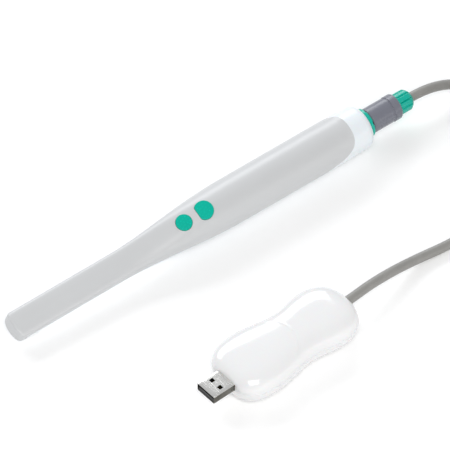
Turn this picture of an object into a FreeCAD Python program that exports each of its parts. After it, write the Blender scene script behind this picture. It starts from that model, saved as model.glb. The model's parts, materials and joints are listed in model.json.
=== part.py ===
"""Intraoral camera: a wand with two buttons, its cable plug, cable and USB housing.

All lengths are millimetres. The origin is on the resting surface, under the middle of the wand and its
housing. The wand lies along X with its tip at -X, rolled about its own axis. Its pieces are drawn in the
wand's own frame: x from the tip, z out through the buttons. The housing's pieces are drawn in the housing's
frame, with the plug at -x and the cable at +x.
"""
import FreeCAD, Part
import math
import os
import Sketcher

from FreeCAD import Placement, Rotation, Vector

SHEET = "sizes"

DRIVING = {
    # the wand's place and its casing
    "wand_half": 118.0, "wand_y": 45.6, "wand_roll": 22.0,
    "handle_rad": 11.45, "neck_half_width": 7.0, "neck_half_height": 4.4, "wall": 1.3,
    "tip_drop": 3.2, "neck_drop": 1.8, "neck_end": 62.0, "swell": 66.0,
    "top_start": 58.0, "top_swell": 60.0, "under_start": 66.0, "under_swell": 68.0,
    "nose_rad": 16.0, "nose_corner": 2.0, "nose_edge": 0.9, "nose_wrap": 3.0,
    "grip_start": 134.0, "grip_end": 180.0, "grip_land": 0.03, "taper_end": 203.9, "taper_rad": 11.0,
    "collar_round": 4.1, "collar_end": 207.9, "rear_wall": 2.0, "seam_turn": 174.2, "seam_run": 22.0,
    # the head's optics
    "lens_x": 12.0, "window_rad": 4.05, "bezel_rad": 4.7, "barrel_rad": 2.3, "lens_rad": 1.65,
    "lamp_ring": 3.4,
    # the boards
    "board_top": -0.2, "board_start": 96.0, "board_end": 184.5, "board_half": 6.5, "board_thick": 1.0,
    "boss_front": 122.0, "boss_rear": 176.0,
    # the buttons
    "button_x": 98.4, "button_z": 9.23, "button_tilt": 8.9, "button_pitch": 11.44,
    "mode_rad": 4.0, "capture_rad": 4.7, "capture_flat": 3.5, "button_gap": 0.15,
    # the socket and the plug
    "socket_rad": 6.0, "socket_bore": 4.7, "pin_ring": 2.5, "pin_rad": 0.35,
    "plug_rad": 4.62, "plug_body_rad": 5.42, "sleeve_rad": 6.35, "sleeve_bore": 5.5,
    "sleeve_start": 210.8, "sleeve_end": 227.4, "nut_rad": 5.35, "nut_start": 227.6, "nut_end": 236.0,
    # the cable
    "cable_rad": 2.4, "coil_x": 164.0, "coil_y": 0.6, "coil_mean": 28.0, "coil_wide": 3.0, "coil_high": 4.0,
    # the housing on the cable's other end
    "pod_x": -21.5, "pod_y": -38.4, "pod_turn": 3.0, "pod_half": 37.0, "pod_mid": 8.6, "pod_wall": 1.6,
    "usb_z": 9.4, "usb_width": 12.0, "usb_height": 4.5, "usb_reach": 12.5, "usb_sheet": 0.3,
    "pod_board_top": 7.0, "pod_boss_front": -20.0, "pod_boss_rear": 17.0,
}


class Dim:
    """A number together with the sheet formula that gives it."""

    def __init__(self, value, text):
        self.value = value
        self.text = text

    def _join(self, other, sign, result):
        other_text = other.text if isinstance(other, Dim) else repr(float(other))
        return Dim(result, f"({self.text} {sign} {other_text})")

    def __add__(self, other):
        return self._join(other, "+", self.value + number(other))

    def __sub__(self, other):
        return self._join(other, "-", self.value - number(other))

    def __mul__(self, other):
        return self._join(other, "*", self.value * number(other))

    def __neg__(self):
        return Dim(-self.value, f"(0 - {self.text})")


def number(size):
    """The plain number of a Dim or a number."""
    return size.value if isinstance(size, Dim) else float(size)


class Sizes:
    """The spreadsheet of driving sizes, read by name."""

    def __init__(self, document):
        self.sheet = document.addObject("Spreadsheet::Sheet", SHEET)
        for row, (alias, value) in enumerate(DRIVING.items(), start=1):
            self.sheet.set(f"A{row}", alias)
            self.sheet.set(f"B{row}", str(value))
            self.sheet.setAlias(f"B{row}", alias)
        document.recompute()

    def __getattr__(self, alias):
        return Dim(DRIVING[alias], f"{SHEET}.{alias}")


doc = FreeCAD.newDocument("intraoral_camera")
d = Sizes(doc)
nodes = []


def value_of(alias):
    """A driving size read back from the sheet."""
    return float(d.sheet.get(alias))


def keep(item, name, place):
    """Names a finished sub-part, places it and puts it on the list of nodes."""
    item.Label = name
    item.Placement = place
    nodes.append(item)
    return item


# ---------------------------------------------------------------- sketches and features

class Bend:
    """An arc from the vertex before it to the vertex after it; left says that it turns to the left."""

    def __init__(self, radius, left=True):
        self.radius = radius
        self.left = left


def arc_centre(start, end, radius, left):
    """The centre of the minor arc of a radius from start to end."""
    chord = end.sub(start)
    middle = start.add(end).multiply(0.5)
    rise = math.sqrt(max(radius ** 2 - (chord.Length / 2) ** 2, 0.0))
    normal = Vector(-chord.y, chord.x, 0).normalize()
    return middle.add(normal.multiply(rise if left else -rise))


def outline(sketch, path):
    """Draws a closed outline of vertices (x, y) with Bends between them, each size bound to the sheet."""
    corners = [item for item in path if not isinstance(item, Bend)]
    bends = {}
    count = -1
    for item in path:
        if isinstance(item, Bend):
            bends[count] = item
        else:
            count += 1
    spots = [Vector(number(x), number(y), 0) for x, y in corners]
    ends = []
    for index, start in enumerate(spots):
        end = spots[(index + 1) % len(spots)]
        bend = bends.get(index)
        if bend is None:
            ends.append((sketch.addGeometry(Part.LineSegment(start, end), False), 1, 2))
            continue
        radius = number(bend.radius)
        centre = arc_centre(start, end, radius, bend.left)
        first, last = (start, end) if bend.left else (end, start)
        angles = [math.atan2(spot.y - centre.y, spot.x - centre.x) for spot in (first, last)]
        if angles[1] < angles[0]:
            angles[1] += 2 * math.pi
        arc = Part.ArcOfCircle(Part.Circle(centre, Vector(0, 0, 1), radius), *angles)
        geometry = sketch.addGeometry(arc, False)
        ends.append((geometry, 1, 2) if bend.left else (geometry, 2, 1))
    for index, (geometry, _, finish) in enumerate(ends):
        following, begin, _ = ends[(index + 1) % len(ends)]
        sketch.addConstraint(Sketcher.Constraint("Coincident", geometry, finish, following, begin))
    for index, (x, y) in enumerate(corners):
        geometry, begin, _ = ends[index]
        for kind, size in (("DistanceX", x), ("DistanceY", y)):
            spot = sketch.addConstraint(Sketcher.Constraint(kind, -1, 1, geometry, begin, number(size)))
            bind(sketch, f"Constraints[{spot}]", size)
    for index, bend in bends.items():
        spot = sketch.addConstraint(Sketcher.Constraint("Radius", ends[index][0], number(bend.radius)))
        bind(sketch, f"Constraints[{spot}]", bend.radius)


def bind(item, attribute, size):
    """Binds an attribute to the size's formula, where the size has one."""
    if isinstance(size, Dim):
        item.setExpression(attribute, size.text)


def plane_sketch(body, role, name, height=0.0):
    """An empty sketch on one of the body's own origin planes, lifted off it by a height."""
    plane = next(item for item in body.Origin.OriginFeatures if item.Role == role)
    sketch = body.newObject("Sketcher::SketchObject", name)
    sketch.AttachmentSupport = [(plane, "")]
    sketch.MapMode = "FlatFace"
    sketch.AttachmentOffset = Placement(Vector(0, 0, number(height)), Rotation())
    bind(sketch, "AttachmentOffset.Base.z", height)
    return sketch


def sketch_on(body, role, name, path, height=0.0):
    """A sketch of a closed outline."""
    sketch = plane_sketch(body, role, name, height)
    outline(sketch, path)
    return sketch


def new_body(name):
    """An empty body."""
    return doc.addObject("PartDesign::Body", name)


def turn(body, path, axis="H_Axis", groove=False):
    """Turns an outline of the body's XZ plane about its x axis (H_Axis) or z axis (V_Axis)."""
    label = "cut_outline" if groove else "outline"
    sketch = sketch_on(body, "XZ_Plane", f"{body.Name}_{label}", path)
    kind = "Groove" if groove else "Revolution"
    feature = body.newObject(f"PartDesign::{kind}", f"{body.Name}_turned")
    feature.Profile = sketch
    feature.ReferenceAxis = (sketch, [axis])
    feature.Angle = 360
    return feature


def dome_rad(rim, rise):
    """Radius of the ball whose cap has this rim radius and rise."""
    return (number(rim) ** 2 + rise ** 2) / (2 * rise)


def turned(name, path, place, axis="H_Axis"):
    """A sub-part turned from one outline."""
    body = new_body(name)
    turn(body, path, axis)
    return keep(body, name, place)


def rectangle(x_low, x_high, y_low, y_high):
    """The outline of a rectangle."""
    return [(x_low, y_low), (x_high, y_low), (x_high, y_high), (x_low, y_high)]


def pad(body, role, path, base, length):
    """A pad of an outline, from a base height up by a length."""
    sketch = sketch_on(body, role, f"{body.Name}_outline", path, base)
    feature = body.newObject("PartDesign::Pad", f"{body.Name}_pad")
    feature.Profile = sketch
    feature.Length = number(length)
    bind(feature, "Length", length)
    return feature


def pocket(body, role, path, base, through=True, length=1.0, reverse=False):
    """A pocket of an outline; through cuts both ways."""
    sketch = sketch_on(body, role, f"{body.Name}_cut_outline", path, base)
    feature = body.newObject("PartDesign::Pocket", f"{body.Name}_pocket")
    feature.Profile = sketch
    feature.Type = 1 if through else 0
    feature.Midplane = through
    feature.Reversed = reverse
    if not through:
        feature.Length = number(length)
        bind(feature, "Length", length)
    return feature


def holes(body, spots, radius, base, role="XY_Plane", depth=None):
    """Round holes in a plate, at the spots of its sketch plane: right through it, or down by a depth."""
    sketch = plane_sketch(body, role, f"{body.Name}_holes", base)
    for x, y in spots:
        centre = Vector(number(x), number(y), 0)
        ring = sketch.addGeometry(Part.Circle(centre, Vector(0, 0, 1), number(radius)), False)
        spot = sketch.addConstraint(Sketcher.Constraint("Radius", ring, number(radius)))
        bind(sketch, f"Constraints[{spot}]", radius)
        for kind, size in (("DistanceX", x), ("DistanceY", y)):
            spot = sketch.addConstraint(Sketcher.Constraint(kind, -1, 1, ring, 3, number(size)))
            bind(sketch, f"Constraints[{spot}]", size)
    feature = body.newObject("PartDesign::Pocket", f"{body.Name}_bored")
    feature.Profile = sketch
    if depth is None:
        feature.Type = 1
        feature.Midplane = True
    else:
        feature.Length = depth
    return feature


def plate(name, x_low, x_high, y_low, y_high, base, thick, place, bores=(), bore_rad=1.0):
    """A flat plate with optional round holes."""
    body = new_body(name)
    pad(body, "XY_Plane", rectangle(x_low, x_high, y_low, y_high), base, thick)
    if bores:
        holes(body, bores, bore_rad, base)
    return keep(body, name, place)


# ---------------------------------------------------------------- primitives and booleans

def box(name, corner, size, place=Placement()):
    """A Part box from its low corner and its size."""
    item = doc.addObject("Part::Box", name)
    for attribute, length in zip(("Length", "Width", "Height"), size):
        setattr(item, attribute, number(length))
        bind(item, attribute, length)
    item.Placement = place.multiply(Placement(Vector(*[number(part) for part in corner]), Rotation()))
    return item


ALONG_X = Rotation(Vector(0, 1, 0), 90)
UPRIGHT = Rotation()


def rod(name, centre, radius, length, rotation=UPRIGHT, place=Placement()):
    """A Part cylinder that starts at the centre point and runs along its rotated z axis."""
    item = doc.addObject("Part::Cylinder", name)
    item.Radius = number(radius)
    item.Height = number(length)
    bind(item, "Radius", radius)
    bind(item, "Height", length)
    item.Placement = place.multiply(Placement(Vector(*[number(part) for part in centre]), rotation))
    return item


def cut(base, tool, name="cut"):
    """One shape less another."""
    item = doc.addObject("Part::Cut", name)
    item.Base = base
    item.Tool = tool
    return item


def fuse(items, name="fused"):
    """Several shapes made one."""
    item = doc.addObject("Part::MultiFuse", name)
    item.Shapes = items
    return item


def group(name, items, place):
    """Separate solids that share one node."""
    item = doc.addObject("Part::Compound", name)
    item.Links = items
    return keep(item, name, place)


def form(name, shape):
    """A construction shape that later booleans use."""
    item = doc.addObject("Part::Feature", name)
    item.Shape = shape
    return item


def ring_spots(radius, count, first=0.0):
    """Evenly spaced spots on a circle."""
    steps = [math.radians(first + 360.0 * index / count) for index in range(count)]
    return [(radius * math.cos(step), radius * math.sin(step)) for step in steps]


# ---------------------------------------------------------------- frames

WAND = Placement(Vector(-value_of("wand_half"), value_of("wand_y"), value_of("handle_rad")),
                 Rotation(Vector(1, 0, 0), value_of("wand_roll")))
BUTTONS = WAND.multiply(Placement(Vector(value_of("button_x"), 0, value_of("button_z")),
                                  Rotation(Vector(0, 1, 0), -value_of("button_tilt"))))
POD = Placement(Vector(value_of("pod_x"), value_of("pod_y"), 0),
                Rotation(Vector(0, 0, 1), value_of("pod_turn")))
BUTTON_LOCAL = WAND.inverse().multiply(BUTTONS)


# ---------------------------------------------------------------- the wand's casing

def ease(x, start, run):
    """A smooth rise from 0 to 1 over a run."""
    step = min(max((x - start) / run, 0.0), 1.0)
    return step * step * (3 - 2 * step)


def neck_middle(x):
    """Height of the neck's own middle line, which rises a little from the tip."""
    share = min(max(x, 0) / value_of("neck_end"), 1)
    return -value_of("tip_drop") + (value_of("tip_drop") - value_of("neck_drop")) * share


def seam_height(x):
    """Height of the casing's seam, which is also its widest line."""
    return neck_middle(x) * (1 - ease(x, value_of("neck_end"), value_of("swell")))


def casing_size(x):
    """Half-width, top, underside and squareness of the casing at x."""
    handle = value_of("handle_rad")
    half_height = value_of("neck_half_height")
    neck_width = value_of("neck_half_width")
    width = neck_width + (handle - neck_width) * ease(x, value_of("neck_end"), value_of("swell"))
    rise = ease(x, value_of("top_start"), value_of("top_swell"))
    top = (neck_middle(x) + half_height) * (1 - rise) + handle * rise
    fall = ease(x, value_of("under_start"), value_of("under_swell"))
    under = (neck_middle(x) - half_height) * (1 - fall) - handle * fall
    square = 4 - 2 * ease(x, value_of("neck_end"), value_of("swell") - 6)
    start, end, round_rad = value_of("grip_end"), value_of("taper_end"), value_of("collar_round")
    if x > start:
        radius = handle - (handle - value_of("taper_rad")) * min((x - start) / (end - start), 1)
        if x > end:
            radius += math.sqrt(max(round_rad ** 2 - (x - end) ** 2, 0)) - round_rad
        width, top, under = radius, radius, -radius
    if value_of("grip_start") <= x <= start:
        core = handle - value_of("grip_land")
        width, top, under = core, core, -core
    return width, top, under, square


def section(x, width, top, under, middle, square, start=-62.0, count=32):
    """A closed superellipse across x; it starts at an angle that is clear of the seam and the holes."""
    spots = []
    for index in range(count):
        angle = 2 * math.pi * index / count + math.radians(start)
        side, lift = math.cos(angle), math.sin(angle)
        reach = (abs(side) ** square + abs(lift) ** square) ** (-1 / square)
        half = (top - middle) if lift >= 0 else (middle - under)
        spots.append(Vector(x, side * reach * width, middle + lift * reach * half))
    curve = Part.BSplineCurve()
    curve.interpolate(Points=spots, PeriodicFlag=True, Parameters=[float(step) for step in range(count + 1)])
    return Part.Wire([curve.toShape()])


def casing_loft(stations, inset):
    """The casing's form through cross-sections, drawn in by an inset."""
    wires = []
    for x in stations:
        width, top, under, square = casing_size(x)
        wires.append(section(x, width - inset, top - inset, under + inset, seam_height(x), square))
    return Part.makeLoft(wires, True, False)


def spread(start, end, pieces):
    """Evenly spaced stations, without the last."""
    return [start + (end - start) * index / pieces for index in range(pieces)]


def stations_from(first):
    """Stations along the casing, nearly even so that the loft stays true, up to the end of the taper."""
    grip_start, grip_end = value_of("grip_start"), value_of("grip_end")
    return (spread(first, grip_start, 27) + spread(grip_start, grip_end, 8)
            + spread(grip_end, value_of("taper_end"), 5) + [value_of("taper_end")])


def mirror(spot):
    """The spot on the wand's other side."""
    return Vector(spot.x, -spot.y, 0)


def nose_prism():
    """An upright prism with the nose's plan: a wide arc with small round corners."""
    big, small = value_of("nose_rad"), value_of("nose_corner")
    side = value_of("neck_half_width") + 0.05
    corner_y = side - small
    corner_x = big - math.sqrt((big - small) ** 2 - corner_y ** 2)
    reach = big / (big - small)
    touch = Vector(big - (big - corner_x) * reach, corner_y * reach, 0)
    turn_end = Vector(corner_x, side, 0)
    slant = math.radians(135)
    corner_mid = Vector(corner_x + small * math.cos(slant + 0.1), corner_y + small * math.sin(slant + 0.1), 0)
    flare = Vector(corner_x + 4, side + 6, 0)
    back = Vector(220, side + 6, 0)
    edges = [Part.Arc(mirror(touch), Vector(0, 0, 0), touch).toShape(),
             Part.Arc(touch, corner_mid, turn_end).toShape(),
             Part.makeLine(turn_end, flare), Part.makeLine(flare, back),
             Part.makeLine(back, mirror(back)), Part.makeLine(mirror(back), mirror(flare)),
             Part.makeLine(mirror(flare), mirror(turn_end)),
             Part.Arc(mirror(turn_end), mirror(corner_mid), mirror(touch)).toShape()]
    face = Part.Face(Part.Wire(edges))
    face.translate(Vector(0, 0, -20))
    return face.extrude(Vector(0, 0, 40))


def casing_outside():
    """The solid outside form of the wand, with its rounded nose."""
    end, rear = value_of("taper_end"), value_of("collar_end")
    rounding = [end + step for step in (1.0, 1.9, 2.6, 3.2, 3.7)]
    body = casing_loft(stations_from(-3.0) + rounding + [rear], 0.0).common(nose_prism())
    near = value_of("nose_wrap") + 1
    rim = [edge for edge in body.Edges if edge.BoundBox.XMax < near and edge.Length > 0.3]
    return body.makeFillet(value_of("nose_edge"), rim).Solids[0]


def casing_inside():
    """The space inside the casing."""
    rear = value_of("collar_end") - value_of("rear_wall")
    return casing_loft(stations_from(2.2) + [rear - 1.0, rear], value_of("wall"))


def seam_prism():
    """A prism across the wand that holds all that the upper shell is made of."""
    handle = value_of("handle_rad")
    wrap, turn_x, run = value_of("nose_wrap"), value_of("seam_turn"), value_of("seam_run")
    line = [Vector(x, -20, seam_height(x)) for x in (wrap, 30, 62, 75, 88, 101, 114, 128)]
    curve = Part.BSplineCurve()
    curve.interpolate(Points=line)
    axis_end = Vector(turn_x, -20, 0)
    oval = Part.Ellipse(Vector(turn_x + run, -20, handle), Vector(turn_x, -20, 0),
                        Vector(turn_x, -20, handle))
    quarter = Part.Arc(oval, 1.5 * math.pi, 2 * math.pi).toShape()
    if quarter.valueAt(quarter.FirstParameter).z > 1.0:
        quarter = Part.Arc(oval, 0, 0.5 * math.pi).toShape()
    low, tall = Vector(wrap, -20, -14), Vector(turn_x + run, -20, 16)
    front_low, front_tall = Vector(-6, -20, -14), Vector(-6, -20, 16)
    ridge = Vector(turn_x + run, -20, handle)
    edges = [Part.makeLine(front_low, low), Part.makeLine(low, line[0]), curve.toShape(),
             Part.makeLine(line[-1], axis_end), quarter, Part.makeLine(ridge, tall),
             Part.makeLine(tall, front_tall), Part.makeLine(front_tall, front_low)]
    face = Part.Face(Part.Wire(Part.__sortEdges__(edges)))
    return face.extrude(Vector(0, 40, 0))


def button_opening(name, centre, radius, flat=None):
    """A tool for the hole that a button slides in."""
    opening = rod(f"{name}_hole", (centre, 0, -3), radius + d.button_gap, 8, place=BUTTON_LOCAL)
    if flat is None:
        return opening
    trim = box(f"{name}_trim", (number(centre) - 12 - flat, -8, -4), (12, 16, 10), BUTTON_LOCAL)
    return cut(opening, trim, f"{name}_opening")


def grip_ring():
    """The true round land of the grip, a hair proud of the casing's loft."""
    start, handle = value_of("grip_start"), value_of("handle_rad")
    length, along = value_of("grip_end") - start, Vector(1, 0, 0)
    inner = Part.makeCylinder(handle - value_of("wall") / 2, length + 2, Vector(start - 1, 0, 0), along)
    return Part.makeCylinder(handle, length, Vector(start, 0, 0), along).cut(inner)


def make_casing():
    """The upper and lower shells."""
    outside, inside = casing_outside(), casing_inside()
    seam, land = seam_prism(), grip_ring()
    upper = outside.common(seam).cut(inside).fuse(land.common(seam))
    flat = value_of("capture_flat") + value_of("button_gap")
    openings = fuse([button_opening("mode", 0.0, d.mode_rad),
                     button_opening("capture", d.button_pitch, d.capture_rad, flat)], "button_openings")
    hollow = form("upper_hollow", upper.Solids[0])
    keep(cut(hollow, openings, "upper_shell_cut"), "upper_shell", WAND)

    lower = outside.cut(seam).cut(inside).fuse(land.cut(seam))
    foot = -10.7
    boss_top = value_of("board_top") - value_of("board_thick")
    spots = (value_of("boss_front"), value_of("boss_rear"))
    lower = lower.multiFuse([Part.makeCylinder(1.9, boss_top - foot, Vector(x, 0, foot)) for x in spots])
    tools = [Part.makeCylinder(0.9, 7, Vector(x, 0, boss_top - 6)) for x in spots]
    tools.append(Part.makeCylinder(value_of("bezel_rad") + 0.05, 4, Vector(value_of("lens_x"), 0, -9)))
    tools.append(Part.makeCylinder(value_of("socket_rad") + 0.1, 6, Vector(value_of("collar_end") - 4, 0, 0),
                                   Vector(1, 0, 0)))
    keep(form("lower_shell_cut", lower.cut(tools).Solids[0]), "lower_shell", WAND)


# ---------------------------------------------------------------- the head

def make_head():
    """The window, lamps, lens and image sensor, stacked on an axis square to the wand."""
    place = WAND.multiply(Placement(Vector(value_of("lens_x"), 0, 0), Rotation()))
    turned("window_bezel", [(d.window_rad + 0.05, -7.5), (d.bezel_rad, -7.5), (d.bezel_rad, -6.2),
                            (d.window_rad - 0.25, -6.2), (d.window_rad - 0.25, -6.45),
                            (d.window_rad + 0.05, -6.45)], place, "V_Axis")
    turned("head_window", [(0, -7.25), (d.window_rad, -7.25), (d.window_rad, -6.5), (0, -6.5)], place,
           "V_Axis")
    turned("led_board", [(d.barrel_rad + 0.15, -5.6), (4.3, -5.6), (4.3, -5.0), (d.barrel_rad + 0.15, -5.0)],
           place, "V_Axis")
    lamps = []
    for index, (x, y) in enumerate(ring_spots(value_of("lamp_ring"), 6, 30)):
        spin = Placement(Vector(x, y, 0), Rotation(Vector(0, 0, 1), 30 + 60 * index))
        lamps.append(box("lamp", (-0.4, -0.6, -6.1), (0.8, 1.2, 0.5), spin))
    group("led_lamps", lamps, place)
    barrel = [(d.lens_rad + 0.05, -5.7), (d.barrel_rad, -5.7), (d.barrel_rad, -1.7),
              (d.lens_rad + 0.05, -1.7)]
    turned("lens_barrel", barrel, place, "V_Axis")
    bulge = 0.28
    curve = dome_rad(d.lens_rad, bulge)
    front, rear = -5.17, -3.0
    turned("lens_front", [(0, front - bulge), Bend(curve), (d.lens_rad, front), (d.lens_rad, -4.6),
                          (0, -4.6)], place, "V_Axis")
    turned("lens_rear", [(0, -3.6), (d.lens_rad, -3.6), (d.lens_rad, rear), Bend(curve), (0, rear + bulge)],
           place, "V_Axis")
    turned("ir_filter", [(0, -2.1), (d.lens_rad, -2.1), (d.lens_rad, -1.8), (0, -1.8)], place, "V_Axis")
    plate("image_sensor", -1.8, 1.8, -1.8, 1.8, -1.6, 0.6, place)
    plate("sensor_board", -6.0, 7.0, -4.2, 4.2, -1.0, 0.6, place)


# ---------------------------------------------------------------- the boards

def make_boards():
    """The ribbon, the main board, the tilted button board and what they carry."""
    ribbon = new_body("flex_ribbon")
    thick = 0.2
    under = [(15.0, -0.4), (24.0, -0.4), (60.0, -0.7), (92.0, -0.2), (99.0, -0.2)]
    path = under + [(x, z + thick) for x, z in reversed(under)]
    strip = pad(ribbon, "XZ_Plane", path, 0.0, 5.0)
    strip.Midplane = True
    keep(ribbon, "flex_ribbon", WAND)

    base = d.board_top - d.board_thick
    plate("main_board", d.board_start, d.board_end, -d.board_half, d.board_half, base, d.board_thick, WAND,
          [(d.boss_front, 0), (d.boss_rear, 0)], 1.0)
    top = value_of("board_top")
    plate("flex_connector", 99.0, 101.5, -3.0, 3.0, top, 0.8, WAND)
    plate("link_header", 113.4, 115.4, -3.5, 3.5, top, 4.0, WAND)
    chips = [(130, -4.5, 9, 9, 1.2), (143, -4, 6, 8, 1.0), (152, -5.5, 3, 2, 0.8), (152, 1.5, 4, 3, 0.9),
             (160, -3.5, 7, 7, 1.1), (104, -5.5, 2, 3, 0.6), (104, 2.5, 2, 3, 0.6)]
    under_side = top - value_of("board_thick")
    items = [box("chip", (x, y, top), (length, width, tall)) for x, y, length, width, tall in chips]
    items.append(box("chip", (134, -3, under_side - 1.0), (10, 6, 1.0)))
    group("board_chips", items, WAND)
    screws = []
    for x in (d.boss_front, d.boss_rear):
        shank = rod("shank", (x, 0, top - 5), 0.75, 5)
        head = rod("head", (x, 0, top), 1.5, 0.9)
        screws.append(fuse([shank, head], "screw"))
    group("board_screws", screws, WAND)

    plate("button_board", -5.0, 17.0, -4.5, 4.5, -7.4, 0.8, BUTTONS)
    switch_half, switch_base, switch_top = 2.1, -6.6, -5.1
    for name, centre in (("mode_switch", d.button_pitch * 0), ("capture_switch", d.button_pitch)):
        switch = plate(name, centre - switch_half, centre + switch_half, -switch_half, switch_half,
                       switch_base, switch_top - switch_base, BUTTONS)
        holes(switch, [(centre, 0.0)], 1.0, switch_top, depth=1.15)


# ---------------------------------------------------------------- the buttons

def make_buttons():
    """The two domed buttons with their inner flanges and stems, and the switch plungers under them."""
    edge, dome, foot, flange = 0.35, 0.85, -2.8, -3.4
    stem_end, stem_rad = -4.4, 1.1
    mode = new_body("mode_button")
    turn(mode, [(0, stem_end), (stem_rad, stem_end), (stem_rad, flange), (d.mode_rad + 0.6, flange),
                (d.mode_rad + 0.6, foot), (d.mode_rad, foot), (d.mode_rad, edge),
                Bend(dome_rad(d.mode_rad, dome - edge)), (0, dome)], "V_Axis")
    keep(mode, "mode_button", BUTTONS)
    capture = new_body("capture_button")
    turn(capture, [(0, stem_end), (stem_rad, stem_end), (stem_rad, flange), (d.capture_rad + 0.4, flange),
                   (d.capture_rad + 0.4, foot), (d.capture_rad, foot), (d.capture_rad, edge),
                   Bend(dome_rad(d.capture_rad, dome - edge)), (0, dome)], "V_Axis")
    pocket(capture, "XY_Plane", rectangle(-d.capture_rad - 2, -d.capture_flat, -8.0, 8.0), 0.0)
    keep(capture, "capture_button",
         BUTTONS.multiply(Placement(Vector(value_of("button_pitch"), 0, 0), Rotation())))
    for name, centre in (("mode_plunger", 0.0), ("capture_plunger", value_of("button_pitch"))):
        place = BUTTONS.multiply(Placement(Vector(centre, 0, 0), Rotation()))
        turned(name, [(0, -5.5), (0.9, -5.5), (0.9, stem_end), (0, stem_end)], place, "V_Axis")


# ---------------------------------------------------------------- the socket in the collar

def pin_set(name, start, length, radius, place, bore=None):
    """Eight rods or tubes in a ring along x."""
    items = []
    for y, z in ring_spots(value_of("pin_ring"), 8):
        item = rod("pin", (start, y, z), radius, length, ALONG_X)
        if bore:
            item = cut(item, rod("pin_bore", (start - 0.5, y, z), bore, length + 1, ALONG_X), "tube")
        items.append(item)
    return group(name, items, place)


def pierced_disc(name, start, end, radius, hole, place):
    """A disc along x with eight holes for the pins."""
    body = new_body(name)
    turn(body, [(start, 0), (end, 0), (end, radius), (start, radius)])
    holes(body, ring_spots(value_of("pin_ring"), 8), hole, 200.0, "YZ_Plane")
    return keep(body, name, place)


def make_socket():
    """The socket that the cable plugs into, its pins, seal, ring nut and wires."""
    rear = value_of("collar_end")
    turned("receptacle_body", [(195.5, d.socket_bore), (rear + 2.3, d.socket_bore),
                               (rear + 2.3, d.socket_rad), (rear - 2.8, d.socket_rad), (rear - 2.8, 7.6),
                               (rear - 4.0, 7.6), (rear - 4.0, d.socket_rad), (195.5, d.socket_rad)], WAND)
    pierced_disc("receptacle_insulator", 196.0, 199.0, d.socket_bore - 0.05, 0.42, WAND)
    pin_set("receptacle_contacts", 193.5, 9.9, d.pin_rad, WAND)
    seal = new_body("receptacle_o_ring")
    middle, thick = rear - 2.4, 0.36
    ring = [(middle - thick, 6.55), Bend(thick, False), (middle, 6.55 + thick), Bend(thick, False),
            (middle + thick, 6.55), Bend(thick, False), (middle, 6.55 - thick), Bend(thick, False)]
    turn(seal, ring)
    keep(seal, "receptacle_o_ring", WAND)
    nut = new_body("receptacle_nut")
    turn(nut, [(rear + 0.02, d.socket_rad + 0.05), (rear + 2.4, d.socket_rad + 0.05), (rear + 2.4, 6.9),
               (rear + 2.0, 7.3), (rear + 0.02, 7.3)])
    notch = pocket(nut, "XZ_Plane", rectangle(rear + 1.5, rear + 3.0, 5.5, 8.0), 0.0, False, 1.6)
    notch.Midplane = True
    repeat(nut, notch, 6)
    keep(nut, "receptacle_nut", WAND)
    pin_set("receptacle_wires", 187.0, 6.5, 0.45, WAND)
    body = new_body("wire_header")
    pad(body, "YZ_Plane", rectangle(-3.6, 3.6, -3.6, 3.6), 184.5, 2.5)
    keep(body, "wire_header", WAND)


def repeat(body, feature, count):
    """Repeats a feature round the body's x axis."""
    axis = next(item for item in body.Origin.OriginFeatures if item.Role == "X_Axis")
    pattern = body.newObject("PartDesign::PolarPattern", f"{body.Name}_pattern")
    pattern.Originals = [feature]
    pattern.Axis = (axis, [""])
    pattern.Angle = 360
    pattern.Occurrences = count
    body.Tip = pattern
    return pattern


# ---------------------------------------------------------------- the plug

def make_plug():
    """The push-pull plug, its release sleeve, collet and back nut."""
    turned("plug_shell", [(199.8, 3.95), (222.0, 3.95), (222.0, 3.7), (232.0, 3.7), (232.0, 4.4),
                          (225.6, 4.4), (225.6, d.plug_body_rad), (210.9, d.plug_body_rad),
                          (210.9, d.plug_rad), (199.8, d.plug_rad)], WAND)
    pierced_disc("plug_insulator", 200.2, 207.0, 3.9, 0.62, WAND)
    pin_set("plug_sockets", 200.6, 8.4, 0.6, WAND, 0.42)
    start, end = d.sleeve_start, d.sleeve_end
    groove_x = value_of("sleeve_end") - 4.4
    turned("release_sleeve", [(start, d.sleeve_bore), (end, d.sleeve_bore), (end, d.sleeve_rad - 0.25),
                              (end - 0.4, d.sleeve_rad + 0.15), (groove_x + 0.45, d.sleeve_rad + 0.15),
                              (groove_x + 0.3, d.sleeve_rad - 0.25), (groove_x - 0.3, d.sleeve_rad - 0.25),
                              (groove_x - 0.45, d.sleeve_rad), (start + 0.4, d.sleeve_rad),
                              (start, d.sleeve_rad - 0.4)], WAND)
    turned("collet", [(226.5, 2.47), (233.2, 2.47), (233.2, 3.0), (232.4, 3.6), (226.5, 3.6)], WAND)
    nut = new_body("back_nut")
    first, last = d.nut_start, d.nut_end
    turn(nut, [(first, 4.5), (last - 3.7, 4.5), (last - 3.7, 3.8), (last - 2.2, 2.65), (last, 2.65),
               (last, 3.6), Bend(1.9), (last - 1.6, d.nut_rad), (first, d.nut_rad)])
    flute = pocket(nut, "YZ_Plane", [(d.nut_rad + 1, -0.45), (d.nut_rad + 1, 0.45), (d.nut_rad - 0.45, 0.2),
                                     (d.nut_rad - 0.45, -0.2)], first + 0.6, False, 12.0, True)
    repeat(nut, flute, 10)
    keep(nut, "back_nut", WAND)


# ---------------------------------------------------------------- the cable

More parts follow.
